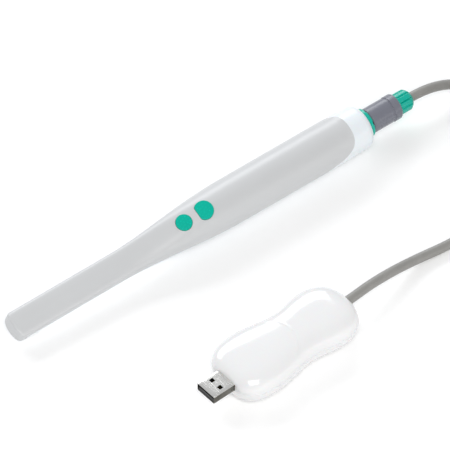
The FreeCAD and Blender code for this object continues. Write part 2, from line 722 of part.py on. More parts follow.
WAND_ROUTE = [(108.5, 45.6, 11.45), (119.5, 45.6, 11.45), (131.0, 44.8, 10.9), (141.0, 42.2, 8.8),
              (150.0, 38.4, 5.0), (160.0, 34.4, 2.6), (171.0, 33.2, 2.4), (182.0, 28.2, 2.4)]
POD_ROUTE = [(184.0, -25.6, 16.6), (170.0, -32.0, 16.5), (155.0, -36.4, 14.2), (137.0, -35.6, 8.4),
             (118.0, -34.3, 3.6), (98.0, -33.2, 2.4), (79.0, -32.8, 2.4), (63.0, -31.2, 3.0),
             (47.0, -32.4, 6.4), (31.0, -34.3, 8.9), (18.0, -36.2, 9.4), (5.0, -37.0, 9.4)]


def cable_path(route):
    """Straight runs joined by tangent arcs, and the arcs' radii."""
    spots = [Vector(*spot) for spot in route]
    edges, radii = [], []
    start = spots[0]
    for before, corner, after in zip(spots, spots[1:], spots[2:]):
        into, out = corner.sub(before), after.sub(corner)
        turn_angle = into.getAngle(out)
        setback = 0.45 * min(into.Length, out.Length)
        radii.append(setback / math.tan(turn_angle / 2))
        into.normalize()
        out.normalize()
        enter, leave = corner - into * setback, corner + out * setback
        across = (out - into).normalize()
        rise = radii[-1] * (1 / math.cos(turn_angle / 2) - 1)
        edges.append(Part.LineSegment(start, enter).toShape())
        edges.append(Part.Arc(enter, corner + across * rise, leave).toShape())
        start = leave
    edges.append(Part.LineSegment(start, spots[-1]).toShape())
    return Part.Wire(edges), radii


def make_cable():
    """The two loose stretches of the cable and the outer shape of its coil."""
    radius = value_of("cable_rad")
    for name, route in (("cable_wand_side", WAND_ROUTE), ("cable_pod_side", POD_ROUTE)):
        path, radii = cable_path(route)
        first = path.Edges[0]
        circle = Part.Wire([Part.makeCircle(radius, first.valueAt(first.FirstParameter),
                                            first.tangentAt(first.FirstParameter))])
        tube = path.makePipeShell([circle], True, False)
        share = tube.Volume / (math.pi * radius ** 2 * path.Length)
        print(f"{name}: {path.Length:.1f} mm, radii {[round(size, 1) for size in radii]}, volume {share:.4f}")
        item = doc.addObject("Part::Feature", name)
        item.Shape = tube
        keep(item, name, Placement())
    half_wide = d.cable_rad * d.coil_wide
    tall = d.cable_rad * d.coil_high * 2
    low, high = d.coil_mean - half_wide, d.coil_mean + half_wide
    bend = d.cable_rad
    path = [(low + bend, 0), (high - bend, 0), Bend(bend), (high, bend), (high, tall - bend), Bend(bend),
            (high - bend, tall), (low + bend, tall), Bend(bend), (low, tall - bend), (low, bend), Bend(bend)]
    middle = Vector(value_of("coil_x"), value_of("coil_y"), 0)
    turned("cable_coil", path, Placement(middle, Rotation()), "V_Axis")


# ---------------------------------------------------------------- the housing

# cross-sections: x, half-width, height above the seam
POD_PLAN = [(-37.0, 8.0, 4.4), (-36.2, 10.8, 5.8), (-33.8, 14.2, 7.4), (-29.5, 16.7, 8.7), (-23.5, 18.0, 9.3),
            (-16.0, 18.0, 9.3), (-8.0, 16.5, 9.1), (0.0, 14.9, 8.8), (8.0, 14.9, 8.8), (16.0, 16.3, 9.1),
            (23.5, 16.9, 9.1), (29.5, 15.4, 8.4), (33.8, 12.6, 7.0), (36.2, 9.2, 5.4), (37.0, 6.5, 4.2)]
POD_SQUARE = 2.7


def pod_loft(inset):
    """The housing's form through its cross-sections, drawn in by an inset."""
    middle, half = value_of("pod_mid"), value_of("pod_half")
    wires = []
    for x, width, top in POD_PLAN:
        under = middle - min(top * 1.12, 9.5)
        place = x * (half - inset) / half
        wires.append(section(place, width - inset, middle + top - inset, under + inset, middle, POD_SQUARE))
    return Part.makeLoft(wires, True, False)


def posts(spots, base, radius, length):
    """Upright cylinders at spots along the housing's middle line."""
    return [Part.makeCylinder(radius, length, Vector(x, 0, base)) for x in spots]


def shell_part(name, shape, added, removed, place):
    """A housing half: a hollow shell, its posts added and its openings cut."""
    whole = shape.multiFuse(added).cut(removed)
    item = doc.addObject("Part::Feature", name)
    item.Shape = whole.Solids[0]
    keep(item, name, place)


def make_pod():
    """The housing's two halves, its board, screws, USB plug and cable clamp."""
    half, middle, wall = value_of("pod_half"), value_of("pod_mid"), value_of("pod_wall")
    usb_z, reach, board_top = value_of("usb_z"), value_of("usb_reach"), value_of("pod_board_top")
    spots = (value_of("pod_boss_front"), value_of("pod_boss_rear"))
    outside = pod_loft(0.0)
    room = pod_loft(wall).cut(Part.makeBox(120, 60, 5 + wall, Vector(-60, -30, -5)))
    slot = Part.makeBox(12, 12.2, 4.7, Vector(-half - 3, -6.1, usb_z - 2.35))
    outlet = Part.makeCylinder(value_of("cable_rad") + 0.2, 14, Vector(half - 8, 0, usb_z), Vector(1, 0, 0))

    ring_rad, ring_x = 15.0, -12.8
    ring = Part.makeCylinder(ring_rad + 0.25, 12, Vector(ring_x, 0, 9)).cut(
        Part.makeCylinder(ring_rad - 0.25, 12, Vector(ring_x, 0, 9)))
    ring = ring.common(Part.makeBox(20, 40, 12, Vector(ring_x + 8, -20, 12)))
    groove = ring.cut(pod_loft(0.3))
    upper = outside.common(Part.makeBox(120, 60, 30, Vector(-60, -30, middle))).cut(room)
    shell_part("pod_top_cover", upper, posts(spots, board_top + 0.1, 2.4, middle + 7.9 - board_top),
               [slot, outlet, groove] + posts(spots, board_top - 1, 1.05, 8), POD)
    lower = outside.common(Part.makeBox(120, 60, middle, Vector(-60, -30, 0))).cut(room)
    shell_part("pod_base", lower, posts(spots, 0.6, 2.4, board_top - 1.3 - 0.6),
               [slot, outlet] + posts(spots, -1, 2.1, 2.6) + posts(spots, -1, 1.1, 9), POD)

    plate("pod_board", -29.0, 24.0, -10.0, 10.0, d.pod_board_top - 1.2, 1.2, POD,
          [(d.pod_boss_front, 0), (d.pod_boss_rear, 0)], 1.3)
    chips = [(-12, -6, 12, 12, 1.4), (3, -5, 8, 10, 1.0), (-16, 6.8, 3, 2, 0.8), (12.5, 5, 3, 3, 1.6),
             (12.5, -8, 3, 3, 1.6), (-26, 7.2, 4, 2, 0.8)]
    group("pod_chips", [box("chip", (x, y, board_top), (length, width, tall))
                        for x, y, length, width, tall in chips], POD)
    screws = []
    for x in spots:
        shank = rod("shank", (x, 0, 1.5), 0.95, 11)
        screws.append(fuse([shank, rod("head", (x, 0, 0.3), 1.9, 1.2)], "screw"))
    group("pod_screws", screws, POD)
    make_usb(half, usb_z, reach)
    clamp = new_body("pod_cable_clamp")
    pad(clamp, "YZ_Plane", rectangle(-5.0, 5.0, usb_z - 4.0, usb_z + 4.0), half - 10.0, 4.0)
    holes(clamp, [(0.0, usb_z)], d.cable_rad + 0.07, half, "YZ_Plane")
    keep(clamp, "pod_cable_clamp", POD)


def make_usb(half, usb_z, reach):
    """The plug: a folded metal shell with two square windows each side, its tongue and four contacts."""
    sheet = value_of("usb_sheet")
    front = -half - reach
    shell = new_body("usb_shell")
    wide, tall = d.usb_width * 0.5, d.usb_height * 0.5
    low, high = -tall + usb_z, tall + usb_z
    pad(shell, "YZ_Plane", rectangle(-wide, wide, low, high), front, 20.5)
    pocket(shell, "YZ_Plane", rectangle(-wide + sheet, wide - sheet, low + sheet, high - sheet), front)
    for side in (-1, 1):
        body_side = [(front + 5.2, side * 2.85 - 1.1), (front + 7.4, side * 2.85 - 1.1),
                     (front + 7.4, side * 2.85 + 1.1), (front + 5.2, side * 2.85 + 1.1)]
        pocket(shell, "XY_Plane", body_side, usb_z)
    keep(shell, "usb_shell", POD)
    under = usb_z - value_of("usb_height") / 2 + sheet + 0.02
    half_tongue = value_of("usb_width") / 2 - sheet - 0.1
    plate("usb_tongue", front + 0.5, front + 19.0, -half_tongue, half_tongue, under, 1.85, POD)
    strips = [box("strip", (front + 1.3, y - 0.5, under + 1.85), (9.0, 1.0, 0.15))
              for y in (-3.5, -1.0, 1.0, 3.5)]
    group("usb_contacts", strips, POD)


# ---------------------------------------------------------------- checks and files

def write_nodes():
    """Recomputes, tests every object and writes each node's STEP file."""
    doc.recompute()
    for item in doc.Objects:
        if "Invalid" in item.State or "Error" in item.State:
            raise RuntimeError(f"{item.Label} failed: {item.State} {item.getStatusString()}")
    os.makedirs("parts", exist_ok=True)
    for item in nodes:
        shape = item.Shape
        if shape.isNull() or not shape.isValid() or not shape.Solids:
            raise RuntimeError(f"{item.Label} has no valid solid")
        shape.exportStep(f"parts/{item.Label}.step")
        bounds = shape.BoundBox
        print(f"{item.Label:22s} solids {len(shape.Solids)} volume {shape.Volume:9.1f} "
              f"x {bounds.XMin:7.1f} {bounds.XMax:7.1f} y {bounds.YMin:6.1f} {bounds.YMax:6.1f} "
              f"z {bounds.ZMin:5.2f} {bounds.ZMax:5.2f}")
    print(len(nodes), "nodes")


make_casing()
make_head()
make_boards()
make_buttons()
make_socket()
make_plug()
make_cable()
make_pod()
write_nodes()
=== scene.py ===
"""Intraoral camera: the looks of its wand, buttons, plug, cable and housing.

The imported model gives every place. Shapes are worked out in millimetres, in the wand's own frame (x from the tip,
z out through the buttons) or in the housing's (plug at -x, cable at +x), and laid down in metres.
"""

import json
import logging
import math
from dataclasses import dataclass, field
from enum import Enum
from typing import Callable, Dict, List, Mapping, Optional, Sequence, Tuple, Union

import bmesh
import bpy
from mathutils import Matrix, Vector
from mathutils.geometry import delaunay_2d_cdt


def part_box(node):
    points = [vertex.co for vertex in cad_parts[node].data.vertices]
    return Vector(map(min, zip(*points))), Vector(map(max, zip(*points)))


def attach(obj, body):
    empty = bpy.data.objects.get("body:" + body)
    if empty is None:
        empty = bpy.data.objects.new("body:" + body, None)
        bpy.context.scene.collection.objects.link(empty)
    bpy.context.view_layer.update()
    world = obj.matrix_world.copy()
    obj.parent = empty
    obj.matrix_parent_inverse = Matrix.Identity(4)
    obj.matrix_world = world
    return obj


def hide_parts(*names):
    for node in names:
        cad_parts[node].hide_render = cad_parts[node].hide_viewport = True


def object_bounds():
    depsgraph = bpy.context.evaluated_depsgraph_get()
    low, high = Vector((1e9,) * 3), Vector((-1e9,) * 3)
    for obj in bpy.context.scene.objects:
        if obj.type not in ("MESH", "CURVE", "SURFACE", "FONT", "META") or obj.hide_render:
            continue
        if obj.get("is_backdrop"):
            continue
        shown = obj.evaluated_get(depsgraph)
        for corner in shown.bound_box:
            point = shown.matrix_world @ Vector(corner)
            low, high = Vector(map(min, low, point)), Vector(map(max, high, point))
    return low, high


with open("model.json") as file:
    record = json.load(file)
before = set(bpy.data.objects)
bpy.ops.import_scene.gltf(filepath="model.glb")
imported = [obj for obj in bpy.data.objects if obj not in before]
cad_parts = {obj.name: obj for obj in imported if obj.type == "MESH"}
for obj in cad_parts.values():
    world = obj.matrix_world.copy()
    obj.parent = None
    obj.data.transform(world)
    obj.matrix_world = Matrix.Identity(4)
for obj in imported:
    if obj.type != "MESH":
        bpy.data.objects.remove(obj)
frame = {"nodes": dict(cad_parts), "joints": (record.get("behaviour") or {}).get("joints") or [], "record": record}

LOG = logging.getLogger("intraoral_camera")
MM = 0.001
TURN = 2 * math.pi
QUARTER = math.pi / 2
Colour = Tuple[float, float, float, float]
Key = Union[int, str]
Pair = Tuple[float, float]
Face = Tuple[int, ...]
Shape = Tuple[List[Vector], List[Face]]


# ---------------------------------------------------------------- shader maths

class Flow:
    """A node's output on its way through a material, with arithmetic on it."""

    def __init__(self, paint: "Paint", socket: bpy.types.NodeSocket) -> None:
        """Wraps a socket of that material."""
        self.paint = paint
        self.socket = socket

    def _math(self, operation: str, first: "Value", second: "Value") -> "Flow":
        """One Math node on two values."""
        return self.paint.add("ShaderNodeMath", {"operation": operation}, {0: first, 1: second})

    def __add__(self, other: "Value") -> "Flow":
        """The sum of two values."""
        return self._math("ADD", self, other)

    def __sub__(self, other: "Value") -> "Flow":
        """The difference of two values."""
        return self._math("SUBTRACT", self, other)

    def __rsub__(self, other: "Value") -> "Flow":
        """The difference, with the plain number first."""
        return self._math("SUBTRACT", other, self)

    def __mul__(self, other: "Value") -> "Flow":
        """The product of two values."""
        return self._math("MULTIPLY", self, other)

    __radd__ = __add__
    __rmul__ = __mul__

    def over(self, low: float, high: float) -> "Flow":
        """A smooth step from 0 at low to 1 at high."""
        inputs = {"Value": self, "From Min": low, "From Max": high}
        return self.paint.add("ShaderNodeMapRange", {"interpolation_type": "SMOOTHSTEP"}, inputs)


Value = Union[Flow, float, Tuple[float, ...]]


class Paint:
    """A material's node tree in the making."""

    def __init__(self, title: str) -> None:
        """Starts an empty material of that name."""
        self.material = bpy.data.materials.new(title)
        self.material.use_nodes = True
        self.tree = self.material.node_tree
        self.tree.nodes.clear()

    def add(self, kind: str, settings: Mapping[str, object], inputs: Mapping[Key, Value], output: Key = 0) -> Flow:
        """Adds a node.

        Args:
            kind: the node's type.
            settings: its own attributes, set first; "stops" are a colour ramp's (position, colour) stops.
            inputs: values or links for its sockets.
            output: the socket to go on from.

        Returns:
            The chosen output.
        """
        node = self.tree.nodes.new(kind)
        for name, value in settings.items():
            if name == "stops":
                for index, (position, colour) in enumerate(value):
                    known = index < len(node.color_ramp.elements)
                    stop = node.color_ramp.elements[index] if known else node.color_ramp.elements.new(position)
                    stop.position, stop.color = position, colour
            else:
                setattr(node, name, value)
        for key, value in inputs.items():
            if isinstance(value, Flow):
                self.tree.links.new(value.socket, node.inputs[key])
            else:
                node.inputs[key].default_value = value
        return Flow(self, node.outputs[output])

    def place(self, stretch: Tuple[float, float, float] = (1.0, 1.0, 1.0)) -> Flow:
        """The piece's own coordinates in millimetres, stretched along each axis."""
        spot = self.add("ShaderNodeTexCoord", {}, {}, "Object")
        scale = tuple(part / MM for part in stretch)
        return self.add("ShaderNodeVectorMath", {"operation": "MULTIPLY"}, {0: spot, 1: scale})

    def noise(self, spot: Flow, size: float, detail: float = 2.0, rough: float = 0.5) -> Flow:
        """A cloudy value from 0 to 1.

        Args:
            spot: where, in millimetres.
            size: the size of one cloud, in millimetres.
            detail: how many finer layers it has.
            rough: how strong they are.

        Returns:
            The value.
        """
        inputs = {"Vector": spot, "Scale": 1.0 / size, "Detail": detail, "Roughness": rough}
        return self.add("ShaderNodeTexNoise", {}, inputs, 0)

    def cells(self, spot: Flow, size: float) -> Flow:
        """The distance to the nearest of many scattered points, whose cells are that size in millimetres."""
        return self.add("ShaderNodeTexVoronoi", {}, {"Vector": spot, "Scale": 1.0 / size}, 0)

    def blend(self, share: Value, first: Value, second: Value) -> Flow:
        """A colour between two, by a share."""
        return self.add("ShaderNodeMix", {"data_type": "RGBA"}, {0: share, 6: first, 7: second}, 2)

    def bump(self, height: Flow, depth: float) -> Flow:
        """A normal from a height whose full range is that many millimetres."""
        return self.add("ShaderNodeBump", {}, {"Strength": 1.0, "Distance": depth * MM, "Height": height})

    def edges(self) -> Flow:
        """How far a place is a raised edge, from 0 to 1."""
        return self.add("ShaderNodeNewGeometry", {}, {}, "Pointiness").over(0.505, 0.56)

    def finish(self, shader: Flow) -> bpy.types.Material:
        """Links the shader to the material's output and gives the material."""
        node = self.tree.nodes.new("ShaderNodeOutputMaterial")
        self.tree.links.new(shader.socket, node.inputs["Surface"])
        return self.material


def shade(colour: Colour, factor: float) -> Colour:
    """The same hue, lighter or darker by a factor."""
    return tuple(min(part * factor, 1.0) for part in colour[:3]) + (1.0,)


# ---------------------------------------------------------------- finishes

@dataclass(frozen=True)
class Finish:
    """A moulded plastic: an even colour with faint clouds, a fine grain, and raised edges lightened partly by
    rubbing and partly as a painted highlight.
    """

    title: str
    colour: Colour
    roughness: float = 0.4
    grain: float = 0.3
    relief: float = 0.01
    clouds: float = 0.04
    gloss_clouds: float = 0.07
    # How much raised edges are lightened, partly as wear and partly as a painted highlight.
    edge_wear_and_highlight: float = 0.1
    settings: Tuple[Tuple[str, float], ...] = ()

    def tint(self, paint: Paint, spot: Flow, cloud: Flow) -> Flow:
        """The colour over the surface.

        Args:
            paint: the material in the making.
            spot: the place in millimetres; not used here, only by the finishes that override this.
            cloud: broad soft clouds, from 0 to 1.

        Returns:
            The colour.
        """
        base = paint.blend(cloud, shade(self.colour, 1 - self.clouds), shade(self.colour, 1 + self.clouds))
        # Raised edges, such as the buttons' dots, are lightened: partly rubbed wear, partly a painted highlight.
        return paint.blend(paint.edges() * self.edge_wear_and_highlight, base, shade(self.colour, 1.6))

    def gloss(self, paint: Paint, spot: Flow, cloud: Flow) -> Flow:
        """The roughness over the surface, from the same three things."""
        smears = paint.noise(spot, 4.0, 4.0, 0.6)
        return (cloud + smears - 1.0) * (2 * self.gloss_clouds) + self.roughness

    def height(self, paint: Paint, spot: Flow) -> Flow:
        """The grain's height, from 0 to 1."""
        return paint.noise(spot, self.grain, 3.0, 0.6) + paint.noise(spot, self.grain * 12, 2.0) * 0.5

    def make(self) -> bpy.types.Material:
        """Builds the material and returns it."""
        paint = Paint(self.title)
        spot = paint.place()
        cloud = paint.noise(spot, 22.0, 3.0)
        inputs = {"Base Color": self.tint(paint, spot, cloud), "Roughness": self.gloss(paint, spot, cloud),
                  "Normal": paint.bump(self.height(paint, spot), self.relief), **dict(self.settings)}
        return paint.finish(paint.add("ShaderNodeBsdfPrincipled", {}, inputs))


@dataclass(frozen=True)
class Metal(Finish):
    """Plated metal with fine drawn lines along x, a few scratches, and a painted dark reflection on its upright
    sides.
    """

    # How strongly the upright sides are painted dark brown, as a painted reflection of something dark.
    painted_dark_reflection: float = 0.0

    def tint(self, paint: Paint, spot: Flow, cloud: Flow) -> Flow:
        """The plating's colour, with a dark brown painted reflection on upright faces."""
        bright = super().tint(paint, spot, cloud)
        normal = paint.add("ShaderNodeNewGeometry", {}, {}, "Normal")
        rise = paint.add("ShaderNodeSeparateXYZ", {}, {0: normal}, "Z")
        flat = paint.add("ShaderNodeMath", {"operation": "ABSOLUTE"}, {0: rise}).over(0.25, 0.85)
        # Painted reflection: upright faces blend towards dark brown, most where the face stands straight up.
        share = (1.0 - flat) * (cloud * 0.3 + 0.8) * self.painted_dark_reflection
        return paint.blend(share, bright, (0.055, 0.05, 0.036, 1.0))

    def gloss(self, paint: Paint, spot: Flow, cloud: Flow) -> Flow:
        """Roughness in fine lines along x, with scratches across them."""
        lines = paint.noise(paint.place((0.03, 1.0, 1.0)), 0.12, 2.0)
        scratch = 1.0 - paint.noise(paint.place((1.0, 0.12, 0.4)), 0.7, 1.0).over(0.3, 0.36)
        return (lines - 0.5) * self.gloss_clouds + scratch * 0.12 + self.roughness

    def height(self, paint: Paint, spot: Flow) -> Flow:
        """Fine lines along x."""
        return paint.noise(paint.place((0.03, 1.0, 1.0)), 0.1, 2.0)


@dataclass(frozen=True)
class Sheath(Finish):
    """A cable's smooth sheath: a faint bloom, tiny dust and long soft ripples."""

    def tint(self, paint: Paint, spot: Flow, cloud: Flow) -> Flow:
        """Grey with a pale bloom and small darker specks."""
        bloom = paint.noise(spot, 6.0, 4.0, 0.65).over(0.4, 0.75)
        base = paint.blend(bloom * 0.5, self.colour, shade(self.colour, 1.18))
        speck = 1.0 - paint.cells(spot, 1.9).over(0.05, 0.11)
        return paint.blend(speck * 0.35, base, shade(self.colour, 0.6))


@dataclass(frozen=True)
class Board(Finish):
    """A circuit board's lacquer over copper tracks."""

    def tint(self, paint: Paint, spot: Flow, cloud: Flow) -> Flow:
        """Green, lighter over the tracks."""
        tracks = paint.add("ShaderNodeTexBrick", {"offset": 0.35},
                           {"Vector": spot, "Color1": (1, 1, 1, 1), "Color2": (1, 1, 1, 1), "Mortar": (0, 0, 0, 1),
                            "Scale": 1.0, "Mortar Size": 0.12, "Brick Width": 2.3, "Row Height": 0.9}, "Fac")
        return paint.blend(tracks * 0.7, self.colour, shade(self.colour, 2.2))


@dataclass(frozen=True)
class Glass(Finish):
    """A clear pane with the faintest smears."""

    def make(self) -> bpy.types.Material:
        """Builds the material and returns it."""
        paint = Paint(self.title)
        spot = paint.place()
        smear = paint.noise(spot, 1.5, 4.0, 0.6)
        inputs = {"Base Color": paint.blend(smear * 0.1, self.colour, (1.0, 1.0, 1.0, 1.0)),
                  "Roughness": smear * 0.06 + self.roughness, "Transmission Weight": 0.9, "IOR": 1.5,
                  "Normal": paint.bump(smear, self.relief)}
        return paint.finish(paint.add("ShaderNodeBsdfPrincipled", {}, inputs))


FINISHES: Dict[str, Finish] = {
    "grey_casing": Finish("grey_casing", (0.545, 0.552, 0.56, 1), 0.36, 0.22, 0.012, 0.02, 0.05, 0.12,
                          (("Coat Weight", 0.12), ("Coat Roughness", 0.3))),
    "white_casing": Finish("white_casing", (0.76, 0.80, 0.83, 1), 0.3, 0.3, 0.006, 0.012, 0.04, 0.1,
                           (("Subsurface Weight", 0.08), ("Subsurface Scale", 0.002))),
    "housing_white": Finish("housing_white", (0.77, 0.77, 0.775, 1), 0.16, 0.5, 0.003, 0.012, 0.03, 0.1,
                            (("Coat Weight", 0.3), ("Coat Roughness", 0.06), ("Subsurface Weight", 0.06),
                             ("Subsurface Scale", 0.002))),
    "teal_plastic": Finish("teal_plastic", (0.001, 0.40, 0.305, 1), 0.24, 0.25, 0.006, 0.06, 0.05, 0.3,
                           (("Specular IOR Level", 0.4),)),
    # The button's dots take a strong lightening of their raised edges, mostly a painted highlight with some wear.
    "teal_button": Finish("teal_button", (0.0008, 0.41, 0.305, 1), 0.45, 0.16, 0.008, 0.06, 0.07, 0.5,
                          (("Specular IOR Level", 0.1),)),
    "grey_plastic": Finish("grey_plastic", (0.165, 0.17, 0.205, 1), 0.3, 0.2, 0.014, 0.05, 0.08, 0.3),
    "black_plastic": Finish("black_plastic", (0.012, 0.012, 0.013, 1), 0.4, 0.2, 0.01, 0.2, 0.08, 0.3),
    "dark_chip": Finish("dark_chip", (0.02, 0.02, 0.023, 1), 0.55, 0.08, 0.01, 0.3, 0.05, 0.2),
    "lamp_white": Finish("lamp_white", (0.85, 0.80, 0.55, 1), 0.3, 0.2, 0.005),
    "amber_ribbon": Finish("amber_ribbon", (0.5, 0.19, 0.02, 1), 0.25, 1.0, 0.01, 0.1),
    "seal_rubber": Finish("seal_rubber", (0.015, 0.015, 0.016, 1), 0.6, 0.15, 0.012, 0.2),
    "wire_insulation": Finish("wire_insulation", (0.45, 0.04, 0.03, 1), 0.45, 0.3, 0.01, 0.1),
    "green_board": Board("green_board", (0.015, 0.13, 0.05, 1), 0.3, 0.3, 0.008),
    "steel": Metal("steel", (0.55, 0.55, 0.56, 1), 0.32, 0.2, 0.004, settings=(("Metallic", 1.0),)),
    # The plug shell's upright sides carry the full painted dark reflection.
    "bright_metal": Metal("bright_metal", (0.93, 0.92, 0.89, 1), 0.2, 0.2, 0.003, settings=(("Metallic", 1.0),),
                          painted_dark_reflection=1.0),
    "gold_contact": Metal("gold_contact", (0.85, 0.58, 0.20, 1), 0.22, 0.2, 0.003, settings=(("Metallic", 1.0),)),
    "grey_cable": Sheath("grey_cable", (0.245, 0.24, 0.228, 1), 0.42, 0.25, 0.012),
    "clear_window": Glass("clear_window", (0.9, 0.95, 0.96, 1), 0.03, relief=0.002),
    "filter_glass": Glass("filter_glass", (0.4, 0.65, 0.8, 1), 0.03, relief=0.002),
}


class Paintbox:
    """Makes each finish once and hands it out."""

    def __init__(self) -> None:
        """Starts with nothing made."""
        self._made: Dict[str, bpy.types.Material] = {}

    def get(self, slot: str) -> bpy.types.Material:
        """The material of a slot of the record."""
        if slot not in self._made:
            self._made[slot] = FINISHES[slot].make()
        return self._made[slot]


PAINTS = Paintbox()


# ---------------------------------------------------------------- mesh helpers

class Skin:
    """A sheet with an outer and an inner side, which closes round its borders into a wall."""

    def __init__(self) -> None:
        """Starts an empty sheet."""
        self.pairs: List[Tuple[Vector, Vector]] = []
        self.faces: List[Face] = []
        self._known: Dict[Tuple[float, ...], int] = {}

    def spot(self, outer: Vector, inner: Vector) -> int:
        """Adds a point on both sides, or finds it, and gives its number."""
        key = tuple(round(part, 4) for part in outer)
        if key not in self._known:
            self._known[key] = len(self.pairs)
            self.pairs.append((outer, inner))
        return self._known[key]

    def face(self, *corners: int) -> None:
        """Adds a face, unless its corners have run together."""
        kept = [corner for index, corner in enumerate(corners) if corner != corners[index - 1]]
        if len(set(kept)) > 2:
            self.faces.append(tuple(kept))

    def weave(self, rows: Sequence[Sequence[int]], skip: Optional[Callable[[int, int], bool]] = None) -> None:
        """Adds the faces between rows of points.

        Args:
            rows: rows of point numbers, all equally long.
            skip: says which cell, by row and column, stays open.
        """
        for row, (first, second) in enumerate(zip(rows, rows[1:])):
            for column in range(len(first) - 1):
                if skip is None or not skip(row, column):
                    self.face(first[column], first[column + 1], second[column + 1], second[column])

    def closed(self) -> Shape:
        """The points and faces of the wall, with its borders closed."""
        count = len(self.pairs)
        points = [outer for outer, _ in self.pairs] + [inner for _, inner in self.pairs]
        faces = self.faces + [tuple(corner + count for corner in reversed(face)) for face in self.faces]
        edges = {(face[index - 1], face[index]) for face in self.faces for index in range(len(face))}
        borders = [(start, end) for start, end in edges if (end, start) not in edges]
        faces += [(end, start, start + count, end + count) for start, end in sorted(borders)]
        return points, faces


def lay(name: str, points: Sequence[Vector], faces: Sequence[Face], place: Matrix,
        crease: float = 38.0) -> bpy.types.Object:
    """Makes a mesh piece.

    Args:
        name: the piece's name.
        points: its points in the maker's frame, in millimetres.
        faces: its faces, by point number.
        place: that frame in the row's, with its scale.
        crease: the angle in degrees from which an edge looks sharp.

    Returns:
        The new object, whose mesh holds its place.
    """
    mesh = bpy.data.meshes.new(name)
    mesh.from_pydata([place @ point for point in points], [], faces)
    work = bmesh.new()
    work.from_mesh(mesh)
    bmesh.ops.remove_doubles(work, verts=work.verts, dist=0.0005 * MM)
    bmesh.ops.dissolve_degenerate(work, edges=work.edges, dist=0.0005 * MM)
    bmesh.ops.recalc_face_normals(work, faces=work.faces)
    work.to_mesh(mesh)
    work.free()
    mesh.shade_smooth()
    mesh.set_sharp_from_angle(angle=math.radians(crease))
    piece = bpy.data.objects.new(name, mesh)
    bpy.context.scene.collection.objects.link(piece)
    return piece


def settle(piece: bpy.types.Object, body: str, slot: str, *nodes: str) -> bpy.types.Object:
    """Dresses a piece, lets it ride on its body and take the place of its nodes.

    Args:
        piece: the piece.
        body: the body that it moves with.
        slot: the record's material slot of its finish.
        nodes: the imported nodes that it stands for.

    Returns:
        The piece.
    """
    piece.data.materials.clear()
    piece.data.materials.append(PAINTS.get(slot))
    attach(piece, body)
    if nodes:
        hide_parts(*nodes)
    LOG.info("%s on %s in %s", piece.name, body, slot)
    return piece


@dataclass(frozen=True)
class Corner:
    """A corner of an outline: how far along, how far out, and the radius that rounds it."""

    along: float
    out: float
    radius: float = 0.0


def outline(corners: Sequence[Corner], steps: int = 4) -> List[Pair]:
    """A closed outline with its corners rounded.

    Args:
        corners: the corners, in order.
        steps: how many pieces each rounding has.

    Returns:
        Its points.
    """
    spots: List[Pair] = []
    for index, corner in enumerate(corners):
        here = Vector((corner.along, corner.out))
        if corner.radius <= 0:
            spots.append((here.x, here.y))
            continue
        before = corners[index - 1]
        after = corners[(index + 1) % len(corners)]
        into = (Vector((before.along, before.out)) - here).normalized()
        onto = (Vector((after.along, after.out)) - here).normalized()
        half = into.angle(onto) / 2
        reach = corner.radius / math.tan(half)
        centre = here + (into + onto).normalized() * (corner.radius / math.sin(half))
        start = here + into * reach - centre
        sweep = start.angle_signed(here + onto * reach - centre)
        for step in range(steps + 1):
            spot = centre + Matrix.Rotation(-sweep * step / steps, 2) @ start
            spots.append((spot.x, spot.y))
    return spots


def stack_faces(rows: int, count: int, capped: bool = True) -> List[Face]:
    """The faces between rows of points that each run once round a piece.

    Args:
        rows: how many rows there are.
        count: how many points each has.
        capped: whether the first and the last row are closed.

    Returns:
        Faces, by point number.
    """
    faces = [(row * count + step, row * count + (step + 1) % count, (row + 1) * count + (step + 1) % count,
              (row + 1) * count + step) for row in range(rows - 1) for step in range(count)]
    if capped:
        faces += [tuple(range(count)), tuple(range((rows - 1) * count, rows * count))]
    return faces


def turned(path: Sequence[Pair], count: int,
           form: Optional[Callable[[float, float, float], Pair]] = None) -> Shape:
    """Turns a closed outline about the x axis.

    Args:
        path: (along, out) points.
        count: how many steps round.
        form: changes a point's along and out by its angle, for flutes and notches.

    Returns:
        Points and faces.
    """
    points = []
    for step in range(count):
        angle = TURN * step / count
        for along, out in path:
            x, reach = form(along, out, angle) if form else (along, out)
            points.append(Vector((x, reach * math.cos(angle), reach * math.sin(angle))))
    size = len(path)
    faces = [(step * size + index, step * size + (index + 1) % size,
              (step + 1) % count * size + (index + 1) % size, (step + 1) % count * size + index)
             for step in range(count) for index in range(size)]
    return points, faces


def ease(x: float, start: float, run: float) -> float:
    """A smooth rise from 0 to 1 over a run."""
    step = min(max((x - start) / run, 0.0), 1.0)
    return step * step * (3 - 2 * step)


def spread(start: float, end: float, count: int) -> List[float]:
    """Evenly spaced values from start to end, both among them."""
    return [start + (end - start) * index / count for index in range(count + 1)]


def lip(distance: float, radius: float) -> float:
    """How far a rounded edge of that radius falls away at a distance from it."""
    if distance >= radius:
        return 0.0
    return radius - math.sqrt(radius ** 2 - (radius - distance) ** 2)


# ---------------------------------------------------------------- places

